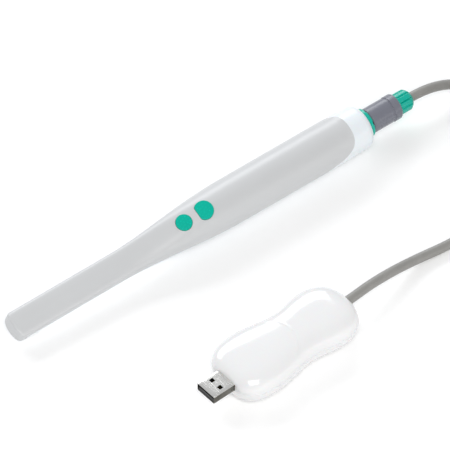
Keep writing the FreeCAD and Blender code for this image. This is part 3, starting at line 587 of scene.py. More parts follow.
@dataclass(frozen=True)
class Places:
    """Where the wand, its buttons and the housing lie, as frames in millimetres."""

    wand: Matrix
    buttons: Matrix
    pod: Matrix

    @classmethod
    def read(cls) -> "Places":
        """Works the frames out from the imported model's joints, mounts and boxes."""
        press = Vector(next(joint["axis"] for joint in frame["joints"] if joint["name"] == "mode_press"))
        roll = Matrix.Rotation(math.atan2(press.y, -press.z), 4, "X")
        tilt = Matrix.Rotation(-math.asin(press.x), 4, "Y")
        scale = Matrix.Scale(MM, 4)
        low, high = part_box("receptacle_insulator")
        middle = (low + high) / 2
        tip = Vector((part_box("upper_shell")[0].x, middle.y, middle.z))
        low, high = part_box("mode_plunger")
        plunger_depth = 4.95 * MM
        top = (low + high) / 2 - press * plunger_depth
        mounts = {mount["name"]: mount for mount in frame["record"]["mounts"]}
        way = mounts["usb_plug"]["axis"]
        turn = Matrix.Rotation(math.atan2(-way[1], -way[0]), 4, "Z")
        return cls(Matrix.Translation(tip) @ roll @ scale, Matrix.Translation(top) @ roll @ tilt @ scale,
                   Matrix.Translation(mounts["housing_base"]["pos_m"]) @ turn @ scale)


# ---------------------------------------------------------------- the wand's casing

@dataclass(frozen=True)
class WandForm:
    """The wand's outside and inside, as functions of the distance from its tip and the angle round it."""

    handle: float = 11.445
    neck_width: float = 7.0
    neck_height: float = 4.4
    tip_drop: float = 3.2
    neck_drop: float = 1.8
    neck_end: float = 62.0
    swell: float = 66.0
    top_start: float = 58.0
    top_swell: float = 60.0
    under_start: float = 66.0
    under_swell: float = 68.0
    grip_end: float = 180.0
    taper_end: float = 203.9
    taper: float = 11.0
    collar_round: float = 4.1
    collar_end: float = 207.9
    nose: float = 16.0
    nose_corner: float = 2.0
    nose_side: float = 7.05
    wall: float = 1.3
    seam_turn: float = 174.2
    seam_run: float = 22.0

    def middle(self, x: float) -> float:
        """Height of the widest line, where the two shells meet."""
        drop = -self.tip_drop + (self.tip_drop - self.neck_drop) * min(max(x, 0.0) / self.neck_end, 1.0)
        return drop * (1 - ease(x, self.neck_end, self.swell))

    def size(self, x: float) -> Tuple[float, float, float, float]:
        """Half-width, top, underside and squareness at x."""
        drop = -self.tip_drop + (self.tip_drop - self.neck_drop) * min(max(x, 0.0) / self.neck_end, 1.0)
        width = self.neck_width + (self.handle - self.neck_width) * ease(x, self.neck_end, self.swell)
        rise = ease(x, self.top_start, self.top_swell)
        fall = ease(x, self.under_start, self.under_swell)
        top = (drop + self.neck_height) * (1 - rise) + self.handle * rise
        under = (drop - self.neck_height) * (1 - fall) - self.handle * fall
        square = 4 - 2 * ease(x, self.neck_end, self.swell - 6)
        if x > self.grip_end:
            width = self.radius(x)
            top, under = width, -width
        return width, top, under, square

    def radius(self, x: float) -> float:
        """Radius of the round handle at x."""
        share = min(max(x - self.grip_end, 0.0) / (self.taper_end - self.grip_end), 1.0)
        radius = self.handle - (self.handle - self.taper) * share
        if x > self.taper_end:
            depth = max(self.collar_round ** 2 - (x - self.taper_end) ** 2, 0.0)
            radius += math.sqrt(depth) - self.collar_round
        return radius

    def point(self, x: float, angle: float, inset: float = 0.0) -> Vector:
        """A point of the surface at x and an angle from the seam, drawn in by an inset."""
        width, top, under, square = self.size(x)
        middle = self.middle(x)
        side, rise = math.cos(angle), math.sin(angle)
        reach = (abs(side) ** square + abs(rise) ** square) ** (-1 / square)
        half = (top - middle if rise >= 0 else middle - under) - inset
        return Vector((x, side * reach * (width - inset), middle + rise * reach * half))

    def normal(self, x: float, angle: float) -> Vector:
        """The outward direction there."""
        step = 0.01
        along = self.point(x + step, angle) - self.point(x - step, angle)
        across = self.point(x, angle + step) - self.point(x, angle - step)
        return across.cross(along).normalized() * -1

    def angle_at(self, x: float, y: float, above: bool) -> float:
        """The angle at which the surface at x has that y, above or below the seam."""
        low, high = (0.0, math.pi) if above else (TURN, math.pi)
        for _ in range(40):
            guess = (low + high) / 2
            if self.point(x, guess).y > y:
                low = guess
            else:
                high = guess
        return (low + high) / 2

    def plan(self, y: float) -> float:
        """How far the nose's end lies from the tip at that y."""
        y = min(abs(y), self.nose_side)
        corner_y = self.nose_side - self.nose_corner
        corner_x = self.nose - math.sqrt((self.nose - self.nose_corner) ** 2 - corner_y ** 2)
        if y * (self.nose - self.nose_corner) < corner_y * self.nose:
            return self.nose - math.sqrt(self.nose ** 2 - y ** 2)
        return corner_x - math.sqrt(max(self.nose_corner ** 2 - (y - corner_y) ** 2, 0.0))

    def parting_x(self, angle: float) -> float:
        """Where the upper shell ends at that angle above the seam."""
        x = self.seam_turn
        for _ in range(6):
            lift = 1 - self.radius(x) * math.sin(angle) / self.handle
            x = self.seam_turn + self.seam_run * math.sqrt(max(1 - lift ** 2, 0.0))
        return x

    def parting_line(self) -> List[Vector]:
        """The upper shell's rear edge on the unrolled handle, as (x, arc length above the seam)."""
        line = [Vector((0.0, 0.0)), Vector((self.seam_turn, 0.0))]
        for step in range(1, 41):
            angle = QUARTER * (step / 40) ** 2
            line.append(Vector((self.parting_x(angle), self.handle * angle)))
        return line


@dataclass
class Casing:
    """The wand's two shells, with rounded edges at the parting line and round the button holes."""

    places: Places
    form: WandForm = field(default_factory=WandForm)
    edge: float = 0.14
    nose_edge: float = 1.0
    wrap: float = 3.0
    plain: float = 6.0
    straight: float = 134.0
    button_edge: float = 0.18
    hole_rim: Tuple[float, float] = (0.4, 0.85)
    nose_wall: float = 2.2
    block: Pair = (86.0, 122.0)
    block_cells: Tuple[int, int] = (48, 36)
    block_margin: int = 13
    window_end: float = 18.0
    window_rows: int = 12
    window_margin: int = 9

    def __post_init__(self) -> None:
        """Settles the angles of the columns and the parting line."""
        near = [0.0, 0.003, 0.008, 0.016, 0.035, 0.07, 0.12, 0.18]
        middle = spread(0.25, math.pi - 0.25, 34)
        self.columns = near + middle + [math.pi - angle for angle in reversed(near)]
        self.under = [TURN - angle for angle in reversed(self.columns)]
        self.line = self.form.parting_line()
        self.steps = [0.0, 0.03, 0.07, self.edge]

    def to_edge(self, x: float, angle: float) -> float:
        """How far a place is from the parting line, in millimetres."""
        folded = min(angle, math.pi - angle) if angle <= math.pi else -min(angle - math.pi, TURN - angle)
        if x < self.straight:
            seam = 0.0 if math.cos(angle) > 0 else math.pi
            return (self.form.point(x, angle) - self.form.point(x, seam)).length
        spot = Vector((x, folded * self.form.radius(x)))
        best = 1e9
        for start, end in zip(self.line, self.line[1:]):
            run = end - start
            share = min(max((spot - start).dot(run) / run.length_squared, 0.0), 1.0)
            best = min(best, (spot - start - run * share).length)
        return best

    def spot(self, skin: Skin, x: float, angle: float, extra: float = 0.0) -> int:
        """Adds a point of the casing, with the parting line's rounded edge.

        Args:
            skin: the sheet to add it to.
            x: the distance from the tip.
            angle: the angle from the seam.
            extra: how far a hole's own edge falls away there.

        Returns:
            The point's number.
        """
        depth = max(lip(self.to_edge(x, angle), self.edge), extra)
        outer = self.form.point(x, angle) - self.form.normal(x, angle) * depth
        inner_x = min(max(x, self.nose_wall), self.form.collar_end - 2.0)
        return skin.spot(outer, self.form.point(inner_x, angle, self.form.wall))

    def nose_rows(self, skin: Skin, angles: Sequence[float], end: float) -> List[List[int]]:
        """The nose's rows from the middle of its face back along its sides.

        Args:
            skin: the sheet to add them to.
            angles: the columns.
            end: how far back the last row lies.

        Returns:
            Rows of point numbers.
        """
        form = self.form
        middle = form.middle(0.0)
        rows: List[List[int]] = []

        def on_face(angle: float, share: float) -> Tuple[Vector, float]:
            """A place on the nose's face, that share of the way to its rounded rim, and how far out it lies."""
            rim = form.point(0.0, angle)
            part = share * (1 - self.nose_edge / math.hypot(rim.y, rim.z - middle))
            return Vector((form.plan(rim.y * part), rim.y * part, middle + (rim.z - middle) * part)), part

        for share in (0.0, 0.25, 0.5, 0.7, 0.85, 0.95, 1.0):
            row = []
            for angle in angles:
                outer, part = on_face(angle, share)
                inner = form.point(self.nose_wall, angle, form.wall)
                row.append(skin.spot(outer, Vector((self.nose_wall, inner.y * part,
                                                    middle + (inner.z - middle) * part))))
            rows.append(row)
        for step in range(1, 7):
            share = step / 7
            row = []
            for angle in angles:
                rim = form.point(0.0, angle)
                rim.x = form.plan(rim.y)
                back = form.point(rim.x + self.nose_edge, angle)
                start = on_face(angle, 1.0)[0]
                spot = start * (1 - share) ** 2 + rim * (2 * share * (1 - share)) + back * share ** 2
                row.append(skin.spot(spot, form.point(self.nose_wall + 0.02 * step, angle, form.wall)))
            rows.append(row)
        for along in self.nose_steps(end):
            rows.append([self.side_spot(skin, along, angle) for angle in angles])
        return rows

    def nose_steps(self, end: float) -> List[float]:
        """How far back the rows along the nose's sides lie, up to an end."""
        steps = [self.nose_edge, 1.4, 1.9, 2.4]
        steps += [self.wrap - step for step in reversed(self.steps)]
        steps += [self.wrap + step for step in self.steps[1:]] + [3.6, 4.2, 5.0, self.plain]
        return [step for step in steps if step <= end + 1e-6]

    def side_spot(self, skin: Skin, along: float, angle: float) -> int:
        """Adds a point on the nose's side, on a row that straightens out from the nose's plan."""
        form = self.form
        bend = 1 - ease(along, self.nose_edge, self.plain - self.nose_edge)
        x = along + form.plan(form.point(0.0, angle).y) * bend
        below = angle > math.pi or angle in (0.0, math.pi)
        from_wrap = abs(along - self.wrap) if below else 1e9
        depth = lip(from_wrap, self.edge)
        if along > self.wrap:
            depth = max(depth, lip(self.to_edge(x, angle), self.edge))
        outer = form.point(x, angle) - form.normal(x, angle) * depth
        return skin.spot(outer, form.point(max(x, 2.4), angle, form.wall))

    def pierced(self, skin: Skin, rows: Sequence[float], angles: Sequence[float],
                holes: Sequence["Hole"]) -> None:
        """Fills a block of the casing with triangles that leave holes open.

        Args:
            skin: the sheet to add them to.
            rows: the block's rows, as distances from the tip.
            angles: the block's columns.
            holes: the holes in it.
        """
        flat: List[Vector] = []
        numbers: List[int] = []

        def put(x: float, angle: float, extra: float = 0.0) -> int:
            """Adds a point to the flat layout and to the sheet, and gives its place in the layout."""
            flat.append(Vector((x, angle * self.form.handle)))
            numbers.append(self.spot(skin, x, angle, extra))
            return len(flat) - 1

        border = [(rows[0], angle) for angle in angles] + [(x, angles[-1]) for x in rows[1:]]
        border += [(rows[-1], angle) for angle in reversed(angles[:-1])]
        border += [(x, angles[0]) for x in reversed(rows[1:-1])]
        loop = [put(*spot) for spot in border]
        edges = list(zip(loop, loop[1:] + loop[:1]))
        rims: List[set] = []
        for hole in holes:
            for index, (out, depth) in enumerate(hole.steps(self.button_edge, self.hole_rim)):
                ring = [put(x, angle, depth) for x, angle in hole.loop(self.form, out)]
                if index == 0:
                    edges += list(zip(ring, ring[1:] + ring[:1]))
                    rims.append(set(ring))
        for x in rows[1:-1]:
            for angle in angles[1:-1]:
                if all(hole.clear_of(self.form.point(x, angle), self.hole_rim[1] + 0.3) for hole in holes):
                    put(x, angle)
        spots, _, faces, origin, _, _ = delaunay_2d_cdt(flat, edges, [], 0, 1e-6)
        first = [marks[0] for marks in origin]
        for face in faces:
            corners = [first[corner] for corner in face]
            if not any(set(corners) <= rim for rim in rims):
                skin.face(*(numbers[corner] for corner in reversed(corners)))

    def make_upper(self) -> None:
        """The grey shell: it wraps the nose, carries the buttons and ends in a curve before the collar."""
        skin = Skin()
        form = self.form
        skin.weave(self.nose_rows(skin, self.columns, self.plain))
        skin.weave(self.nose_rows(skin, self.under, self.wrap))
        before, within = self.block_cells
        block = spread(*self.block, within)
        holes = [Hole(self.places, 0.0, 4.15), Hole(self.places, 11.44, 4.85, 3.65)]
        first, last = self.block_margin, len(self.columns) - self.block_margin - 1
        stations = spread(self.plain, block[0], before) + block[1:] + spread(block[-1], self.straight, 8)[1:]
        rows = [[self.spot(skin, x, angle) for angle in self.columns] for x in stations]

        def in_block(row: int, column: int) -> bool:
            """Says whether a cell belongs to the buttons' block."""
            return before <= row < before + within and first <= column < last

        skin.weave(rows, in_block)
        self.pierced(skin, block, self.columns[first:last + 1], holes)
        rows = []
        marks = [(share, self.edge) for share in spread(0.0, 1.0, 20)]
        for share, back in marks + [(1.0, step) for step in self.steps[-2::-1]]:
            row = []
            for angle in self.columns:
                end = form.parting_x(min(angle, math.pi - angle)) - back * self.stretch(angle)
                row.append(self.spot(skin, self.straight + (end - self.straight) * share, angle))
            rows.append(row)
        skin.weave(rows)
        piece = lay("upper_shell_skin", *skin.closed(), self.places.wand)
        settle(piece, "handpiece", "grey_casing", "upper_shell")

    def stretch(self, angle: float) -> float:
        """How much further along x the rounded edge reaches, where the parting line runs askew."""
        angle = min(angle, math.pi - angle)
        if angle == 0.0:
            return 1.0
        step = 0.002
        rise = self.form.parting_x(angle + step) - self.form.parting_x(angle - step)
        slope = rise / (2 * step * self.form.handle)
        return min(math.sqrt(1 + slope ** 2), 25.0)

    def make_lower(self) -> None:
        """The white shell: the underside, and the collar with its rounded end."""
        skin = Skin()
        form = self.form
        nose = [step for step in self.nose_steps(self.plain) if step >= self.wrap - 1e-6]
        skin.weave([[self.side_spot(skin, along, angle) for angle in self.under] for along in nose])
        block = spread(self.plain, self.window_end, self.window_rows)
        window = Hole(self.places, 12.0, 4.75, above=False)
        first, last = self.window_margin, len(self.under) - self.window_margin - 1
        stations = block + spread(block[-1], self.straight, 60)[1:] + spread(self.straight, form.seam_turn, 20)[1:]
        rows = [[self.spot(skin, x, angle) for angle in self.under] for x in stations]
        skin.weave(rows, lambda row, column: row < self.window_rows and first <= column < last)
        self.pierced(skin, block, self.under[first:last + 1], [window])
        around = self.columns + self.under[1:]
        rows = []
        shares = spread(0.0, 1.0, 16)
        for index in range(len(self.steps) + len(shares) - 1):
            row = []
            for angle in around:
                upper = angle < math.pi
                start = form.parting_x(min(angle, math.pi - angle)) if upper else form.seam_turn
                reach = self.stretch(angle) if upper else 1.0
                if index < len(self.steps):
                    x = start + self.steps[index] * reach
                else:
                    x = start + self.edge * reach
                    x += (form.taper_end - x) * shares[index - len(self.steps) + 1]
                row.append(self.spot(skin, x, angle))
            rows.append(row)
        turn = math.asin((form.collar_end - form.taper_end) / form.collar_round)
        for angle_along in spread(0.0, turn, 8)[1:]:
            x = form.taper_end + form.collar_round * math.sin(angle_along)
            rows.append([self.spot(skin, x, angle) for angle in around])
        for radius in (7.4, 6.9, 6.5, 6.2, 6.1):
            depth = 0.1 if radius < 6.15 else 0.0
            row = []
            for angle in around:
                way = Vector((0.0, math.cos(angle), math.sin(angle)))
                row.append(skin.spot(Vector((form.collar_end - depth, 0, 0)) + way * radius,
                                     Vector((form.collar_end - 2.0, 0, 0)) + way * radius))
            rows.append(row)
        skin.weave(rows)
        piece = lay("lower_shell_skin", *skin.closed(), self.places.wand)
        settle(piece, "handpiece", "white_casing", "lower_shell")


@dataclass(frozen=True)
class Hole:
    """A round or D-shaped hole in the casing, square to the buttons or to the wand's underside."""

    places: Places
    centre: float
    radius: float
    flat: Optional[float] = None
    above: bool = True

    def frame(self) -> Matrix:
        """The hole's frame in the wand's, both in millimetres."""
        if self.above:
            return self.places.wand.inverted() @ self.places.buttons @ Matrix.Translation((self.centre, 0, 0))
        return Matrix.Translation((self.centre, 0, 0))

    def steps(self, edge: float, rim: Sequence[float]) -> List[Pair]:
        """The rings round the hole, as (distance from it, how far its edge falls away)."""
        turns = (0.0, 30.0, 60.0, 90.0)
        rounding = [(edge * (1 - math.cos(math.radians(turn))), edge * (1 - math.sin(math.radians(turn))))
                    for turn in turns]
        return rounding + [(out, 0.0) for out in rim]

    def loop(self, form: WandForm, out: float, count: int = 72) -> List[Pair]:
        """A ring at a distance from the hole, as (x, angle) on the casing.

        Args:
            form: the wand's form.
            out: the distance from the hole's edge.
            count: how many points it has.

        Returns:
            Its points.
        """
        place = self.frame()
        spots = []
        for step in range(count):
            turn = TURN * step / count
            reach = rim_reach(turn, self.radius + out, None if self.flat is None else self.flat + out)
            height = 0.0
            for _ in range(5):
                spot = place @ Vector((reach * math.cos(turn), reach * math.sin(turn), height))
                angle = form.angle_at(spot.x, spot.y, self.above)
                height += (form.point(spot.x, angle).z - spot.z) / place[2][2]
            spots.append((spot.x, angle))
        return spots

    def clear_of(self, spot: Vector, margin: float) -> bool:
        """Says whether a point of the casing is further from the hole than a margin."""
        near = self.frame().inverted() @ spot
        return math.hypot(near.x, near.y) > self.radius + margin


def rim_reach(turn: float, radius: float, flat: Optional[float]) -> float:
    """How far a round outline reaches at a turn; a flat cuts it off towards -x, with its corners eased."""
    side = -math.cos(turn)
    if flat is None or side <= 0.05:
        return radius
    power = 22
    return (radius ** -power + (flat / side) ** -power) ** (-1 / power)


# ---------------------------------------------------------------- the buttons

@dataclass
class Button:
    """A domed button with a rounded rim and small raised dots."""

    places: Places
    name: str
    centre: float
    radius: float
    flat: Optional[float] = None
    rim_height: float = 0.43
    top: float = 0.63
    rim_round: float = 0.25
    dot_radius: float = 0.45
    dot_height: float = 0.15
    dot_pitch: float = 1.5

    def dots(self) -> List[Vector]:
        """The dots' places: one in the middle and rings of six round it."""
        spots = [Vector((0.0, 0.0))]
        for ring in (1, 2):
            for step in range(6 * ring):
                turn = TURN * step / (6 * ring) + 0.26
                spots.append(Vector((math.cos(turn), math.sin(turn))) * self.dot_pitch * ring)
        return [spot for spot in spots if spot.length + self.dot_radius < self.radius - 0.5]

    def height(self, x: float, y: float, share: float, dots: Sequence[Vector]) -> float:
        """The top's height at a place, whose share of the way to the rim is given."""
        height = self.rim_height + (self.top - self.rim_height) * (1 - share ** 2)
        if share > 0.9:
            return height
        for dot in dots:
            near = (Vector((x, y)) - dot).length / self.dot_radius
            if near < 1:
                height += self.dot_height * (1 - near ** 2) ** 1.5
        return height

    def make(self) -> None:
        """Builds the button and settles it."""
        dots = self.dots()
        count = 108
        rings: List[Tuple[float, float, Optional[float]]] = [(share, 0.0, None) for share in spread(0.0, 0.9, 30)]
        edge = self.rim_round
        for turn in spread(90.0, 0.0, 5):
            tilt = math.radians(turn)
            rings.append((1.0, -edge * (1 - math.cos(tilt)), self.rim_height - edge * (1 - math.sin(tilt))))
        foot, flange, stem_end, stem = -2.8, -3.4, -4.4, 1.1
        rings += [(1.0, 0.0, foot), (1.0, 0.4, foot), (1.0, 0.4, flange)]
        points: List[Vector] = []
        for share, out, level in rings:
            for step in range(count):
                turn = TURN * step / count
                reach = rim_reach(turn, self.radius, self.flat) * share + out
                x, y = reach * math.cos(turn), reach * math.sin(turn)
                z = self.height(x, y, share, dots) if level is None else level
                points.append(Vector((x, y, z)))
        for radius, level in ((stem, flange), (stem, stem_end), (0.0, stem_end)):
            for step in range(count):
                turn = TURN * step / count
                points.append(Vector((radius * math.cos(turn), radius * math.sin(turn), level)))
        faces = stack_faces(len(points) // count, count, capped=False)
        place = self.places.buttons @ Matrix.Translation((self.centre, 0, 0))
        settle(lay(f"{self.name}_cap", points, faces, place, 50.0), self.name, "teal_button", self.name)


# ---------------------------------------------------------------- the plug

class Ring(Enum):
    """The turned pieces behind the collar, from front to rear."""

    LOCK_RING = "receptacle_nut"
    SLEEVE = "release_sleeve"
    BACK_NUT = "back_nut"


@dataclass
class PlugEnd:
    """The notched ring, the sliding sleeve and the fluted nut behind the collar."""

    places: Places
    collar: float = 207.9
    flutes: int = 10
    notches: int = 6

    def notched(self, along: float, out: float, angle: float) -> Pair:
        """Draws the lock ring's rear rim in at its notches."""
        start = self.collar + 1.8
        pitch = TURN / self.notches
        off = abs((angle + pitch / 2) % pitch - pitch / 2) * out
        deep = 1 - ease(off, 0.72, 0.16)
        return (along - max(along - start, 0.0) * deep, out)

    def fluted(self, along: float, out: float, angle: float) -> Pair:
        """Draws the back nut's outside in at its flutes, which run out at its front and rear."""
        if out < 3.9:
            return along, out
        pitch = TURN / self.flutes
        off = abs((angle + pitch / 2) % pitch - pitch / 2) / (pitch / 2)
        groove = max(1 - off / 0.34, 0.0) ** 1.5
        crown = 0.12 * (1 - (2 * off - 1.0) ** 2)
        fade = ease(along, 227.9, 0.7)
        return along, out - (0.62 * groove * fade) - (0.12 - crown) * fade * 0.5

    def make(self) -> None:
        """Builds the three pieces and settles them."""
        start = self.collar + 0.02
        end = self.collar + 2.4
        lock = [Corner(start, 6.05), Corner(end, 6.05, 0.1), Corner(end, 6.9, 0.12), Corner(end - 0.45, 7.3, 0.15),
                Corner(start + 1.45, 7.3), Corner(start, 7.3, 0.12)]
        sleeve = [Corner(210.8, 5.5), Corner(227.4, 5.5, 0.1), Corner(227.4, 6.2, 0.2), Corner(226.9, 6.5, 0.2),
                  Corner(223.5, 6.5, 0.12), Corner(223.35, 6.08, 0.1), Corner(222.75, 6.08, 0.1),
                  Corner(222.6, 6.35, 0.12), Corner(211.2, 6.35, 0.25), Corner(210.8, 6.0, 0.15)]
        nut = [Corner(227.6, 4.5), Corner(232.3, 4.5), Corner(232.3, 3.8), Corner(233.8, 2.65),
               Corner(236.0, 2.65, 0.15), Corner(236.0, 3.5, 0.3), Corner(235.2, 4.5, 0.9),
               Corner(234.0, 5.35, 0.9), Corner(228.3, 5.35), Corner(227.6, 5.35, 0.3)]
        for ring, corners, slot, body, form in (
                (Ring.LOCK_RING, lock, "teal_plastic", "handpiece", self.notched),
                (Ring.SLEEVE, sleeve, "grey_plastic", "release_sleeve", None),
                (Ring.BACK_NUT, nut, "teal_plastic", "cable_assembly", self.fluted)):
            path = refined(outline(corners, 5), 0.5)
            points, faces = turned(path, 240, form)
            settle(lay(f"{ring.value}_body", points, faces, self.places.wand), body, slot, ring.value)


def refined(path: Sequence[Pair], step: float) -> List[Pair]:
    """A closed outline with points no further apart than a step."""
    spots: List[Pair] = []
    for index, start in enumerate(path):
        end = path[(index + 1) % len(path)]
        count = max(1, math.ceil(math.dist(start, end) / step))
        spots += [(start[0] + (end[0] - start[0]) * part / count, start[1] + (end[1] - start[1]) * part / count)
                  for part in range(count)]
    return spots


# ---------------------------------------------------------------- the housing

POD_PLAN = [(-37.0, 0.0, 0.0), (-37.0, 4.6, 2.6), (-36.9, 8.0, 4.4), (-36.1, 10.9, 5.9), (-33.8, 14.2, 7.4),
            (-29.5, 16.7, 8.7), (-23.5, 17.87, 9.3), (-16.0, 17.87, 9.3), (-8.0, 16.5, 9.1), (0.0, 14.9, 8.8),
            (8.0, 14.9, 8.8), (16.0, 16.3, 9.1), (23.5, 16.9, 9.1), (29.5, 15.4, 8.4), (33.8, 12.6, 7.0),
            (36.1, 9.3, 5.4), (36.9, 6.6, 4.2), (37.0, 3.6, 2.3), (37.0, 0.0, 0.0)]


@dataclass
class Pod:
    """The waisted housing: a top cover and a base that meet at its widest line."""

    places: Places
    middle: float = 8.6
    square: float = 2.7
    wall: float = 1.6
    edge: float = 0.16
    step_radius: float = 15.0
    step_centre: float = -12.8
    step_depth: float = 0.24
    fine_rows: Dict[int, int] = field(default_factory=lambda: {7: 16, 8: 30, 9: 16, 10: 16})

    def station(self, along: float) -> Tuple[float, float, float]:
        """The form's x, half-width and height at a place along its plan, by a smooth curve through the plan."""
        index = min(int(along), len(POD_PLAN) - 2)
        part = along - index
        spots = [POD_PLAN[min(max(index + shift, 0), len(POD_PLAN) - 1)] for shift in (-1, 0, 1, 2)]
        if index == 0:
            spots[0] = (spots[2][0], -spots[2][1], -spots[2][2])
        if index == len(POD_PLAN) - 2:
            spots[3] = (spots[1][0], -spots[1][1], -spots[1][2])
        return tuple(0.5 * (2 * b + (c - a) * part + (2 * a - 5 * b + 4 * c - d) * part ** 2
                            + (3 * b - a - 3 * c + d) * part ** 3) for a, b, c, d in zip(*spots))

    def point(self, along: float, angle: float, inset: float = 0.0) -> Vector:
        """A point of the surface, at an angle from the parting line, drawn in by an inset."""
        x, width, top = self.station(along)
        x = min(max(x, -37.0), 37.0) * (37.0 - inset) / 37.0
        half = top if math.sin(angle) >= 0 else min(top * 1.12, 9.5)
        side, rise = math.cos(angle), math.sin(angle)
        reach = (abs(side) ** self.square + abs(rise) ** self.square) ** (-1 / self.square)
        share = min(width / 6.0, 1.0)
        y = side * reach * max(width - inset * share, 0.0)
        z = self.middle + rise * reach * max(half - inset * share, 0.0)
        floor = inset
        if z < floor + 0.6:
            z = floor + 0.6 * math.exp((z - floor) / 0.6 - 1)
        return Vector((x, y, z))

    def normal(self, along: float, angle: float) -> Vector:
        """The outward direction there."""
        step = 0.01
        low, high = max(along - step, 0.0), min(along + step, len(POD_PLAN) - 1)
        run = self.point(high, angle) - self.point(low, angle)
        across = self.point(along, angle + step) - self.point(along, angle - step)
        return run.cross(across).normalized()

    def half(self, name: str, angles: Sequence[float]) -> bpy.types.Object:
        """Builds one half.

        Args:
            name: the piece's name.
            angles: its columns.

        Returns:
            The piece.
        """
        skin = Skin()
        stations: List[float] = []
        for index in range(len(POD_PLAN) - 1):
            count = self.fine_rows.get(index, 6 if abs(POD_PLAN[index + 1][0]) > 20 else 12)
            stations += spread(index, index + 1, count)[:-1]
        stations.append(float(len(POD_PLAN) - 1))
        rows = []
        for along in stations:
            row = []
            for angle in angles:
                spot = self.point(along, angle)
                seam = self.point(along, 0.0 if math.cos(angle) > 0 else math.pi)
                depth = lip((spot - seam).length, self.edge)
                if spot.z > 12:
                    off = math.hypot(spot.x - self.step_centre, spot.y) - self.step_radius
                    if spot.x > self.step_centre + 6:
                        depth += self.step_depth * math.exp(-(off / 0.32) ** 2) * ease(spot.z, 12.0, 1.5)
                outer = spot - self.normal(along, angle) * depth if depth else spot
                row.append(skin.spot(outer, self.point(along, angle, self.wall)))
            rows.append(row)
        skin.weave(rows)
        return lay(name, *skin.closed(), self.places.pod)

    def make(self) -> None:
        """Builds both halves, cuts the openings and settles them."""
        near = [0.0, 0.004, 0.01, 0.02, 0.05]
        columns = near + spread(0.1, math.pi - 0.1, 56) + [math.pi - angle for angle in reversed(near)]
        under = [TURN - angle for angle in reversed(columns)]
        cutters = [self.block("plug_cut", Vector((-40.0, 0.0, 9.4)), Vector((12.0, 12.2, 4.7))),
                   self.drum("cable_cut", Vector((29.0, 0.0, 9.4)), "X", 2.6, 14.0)]
        wells = [self.drum(f"well_cut_{index}", Vector((x, 0.0, -1.0)), "Z", 2.1, 2.6)
                 for index, x in enumerate((-20.0, 17.0))]
        for name, angles, node, tools in (("pod_top_skin", columns, "pod_top_cover", cutters),
                                          ("pod_base_skin", under, "pod_base", cutters + wells)):
            piece = self.half(name, angles)
            for tool in tools:
                carve(piece, tool)
            settle(piece, "cable_assembly", "housing_white", node)
        for tool in cutters + wells:
            bpy.data.objects.remove(tool)

    def block(self, name: str, centre: Vector, size: Vector) -> bpy.types.Object:
        """A rounded box for cutting."""
        half = size / 2
        path = outline([Corner(-half.y, -half.z, 0.5), Corner(half.y, -half.z, 0.5), Corner(half.y, half.z, 0.5),
                        Corner(-half.y, half.z, 0.5)])
        points = [centre + Vector((x, y, z)) for x in (-half.x, half.x) for y, z in path]
        return lay(name, points, stack_faces(2, len(path)), self.places.pod)

    def drum(self, name: str, base: Vector, axis: str, radius: float, length: float) -> bpy.types.Object:
        """A cylinder for cutting, along x or z."""
        points = []
        for along in (0.0, length):
            for step in range(40):
                y, z = radius * math.cos(TURN * step / 40), radius * math.sin(TURN * step / 40)
                points.append(base + (Vector((along, y, z)) if axis == "X" else Vector((y, z, along))))
        return lay(name, points, stack_faces(2, 40), self.places.pod)


def carve(piece: bpy.types.Object, tool: bpy.types.Object) -> None:
    """Cuts a tool's shape out of a piece."""
    cutter = piece.modifiers.new("cut", "BOOLEAN")
    cutter.operation = "DIFFERENCE"
    cutter.solver = "EXACT"
    cutter.object = tool
    graph = bpy.context.evaluated_depsgraph_get()
    mesh = bpy.data.meshes.new_from_object(piece.evaluated_get(graph))
    piece.modifiers.clear()
    old = piece.data
    piece.data = mesh
    bpy.data.meshes.remove(old)
    mesh.name = piece.name


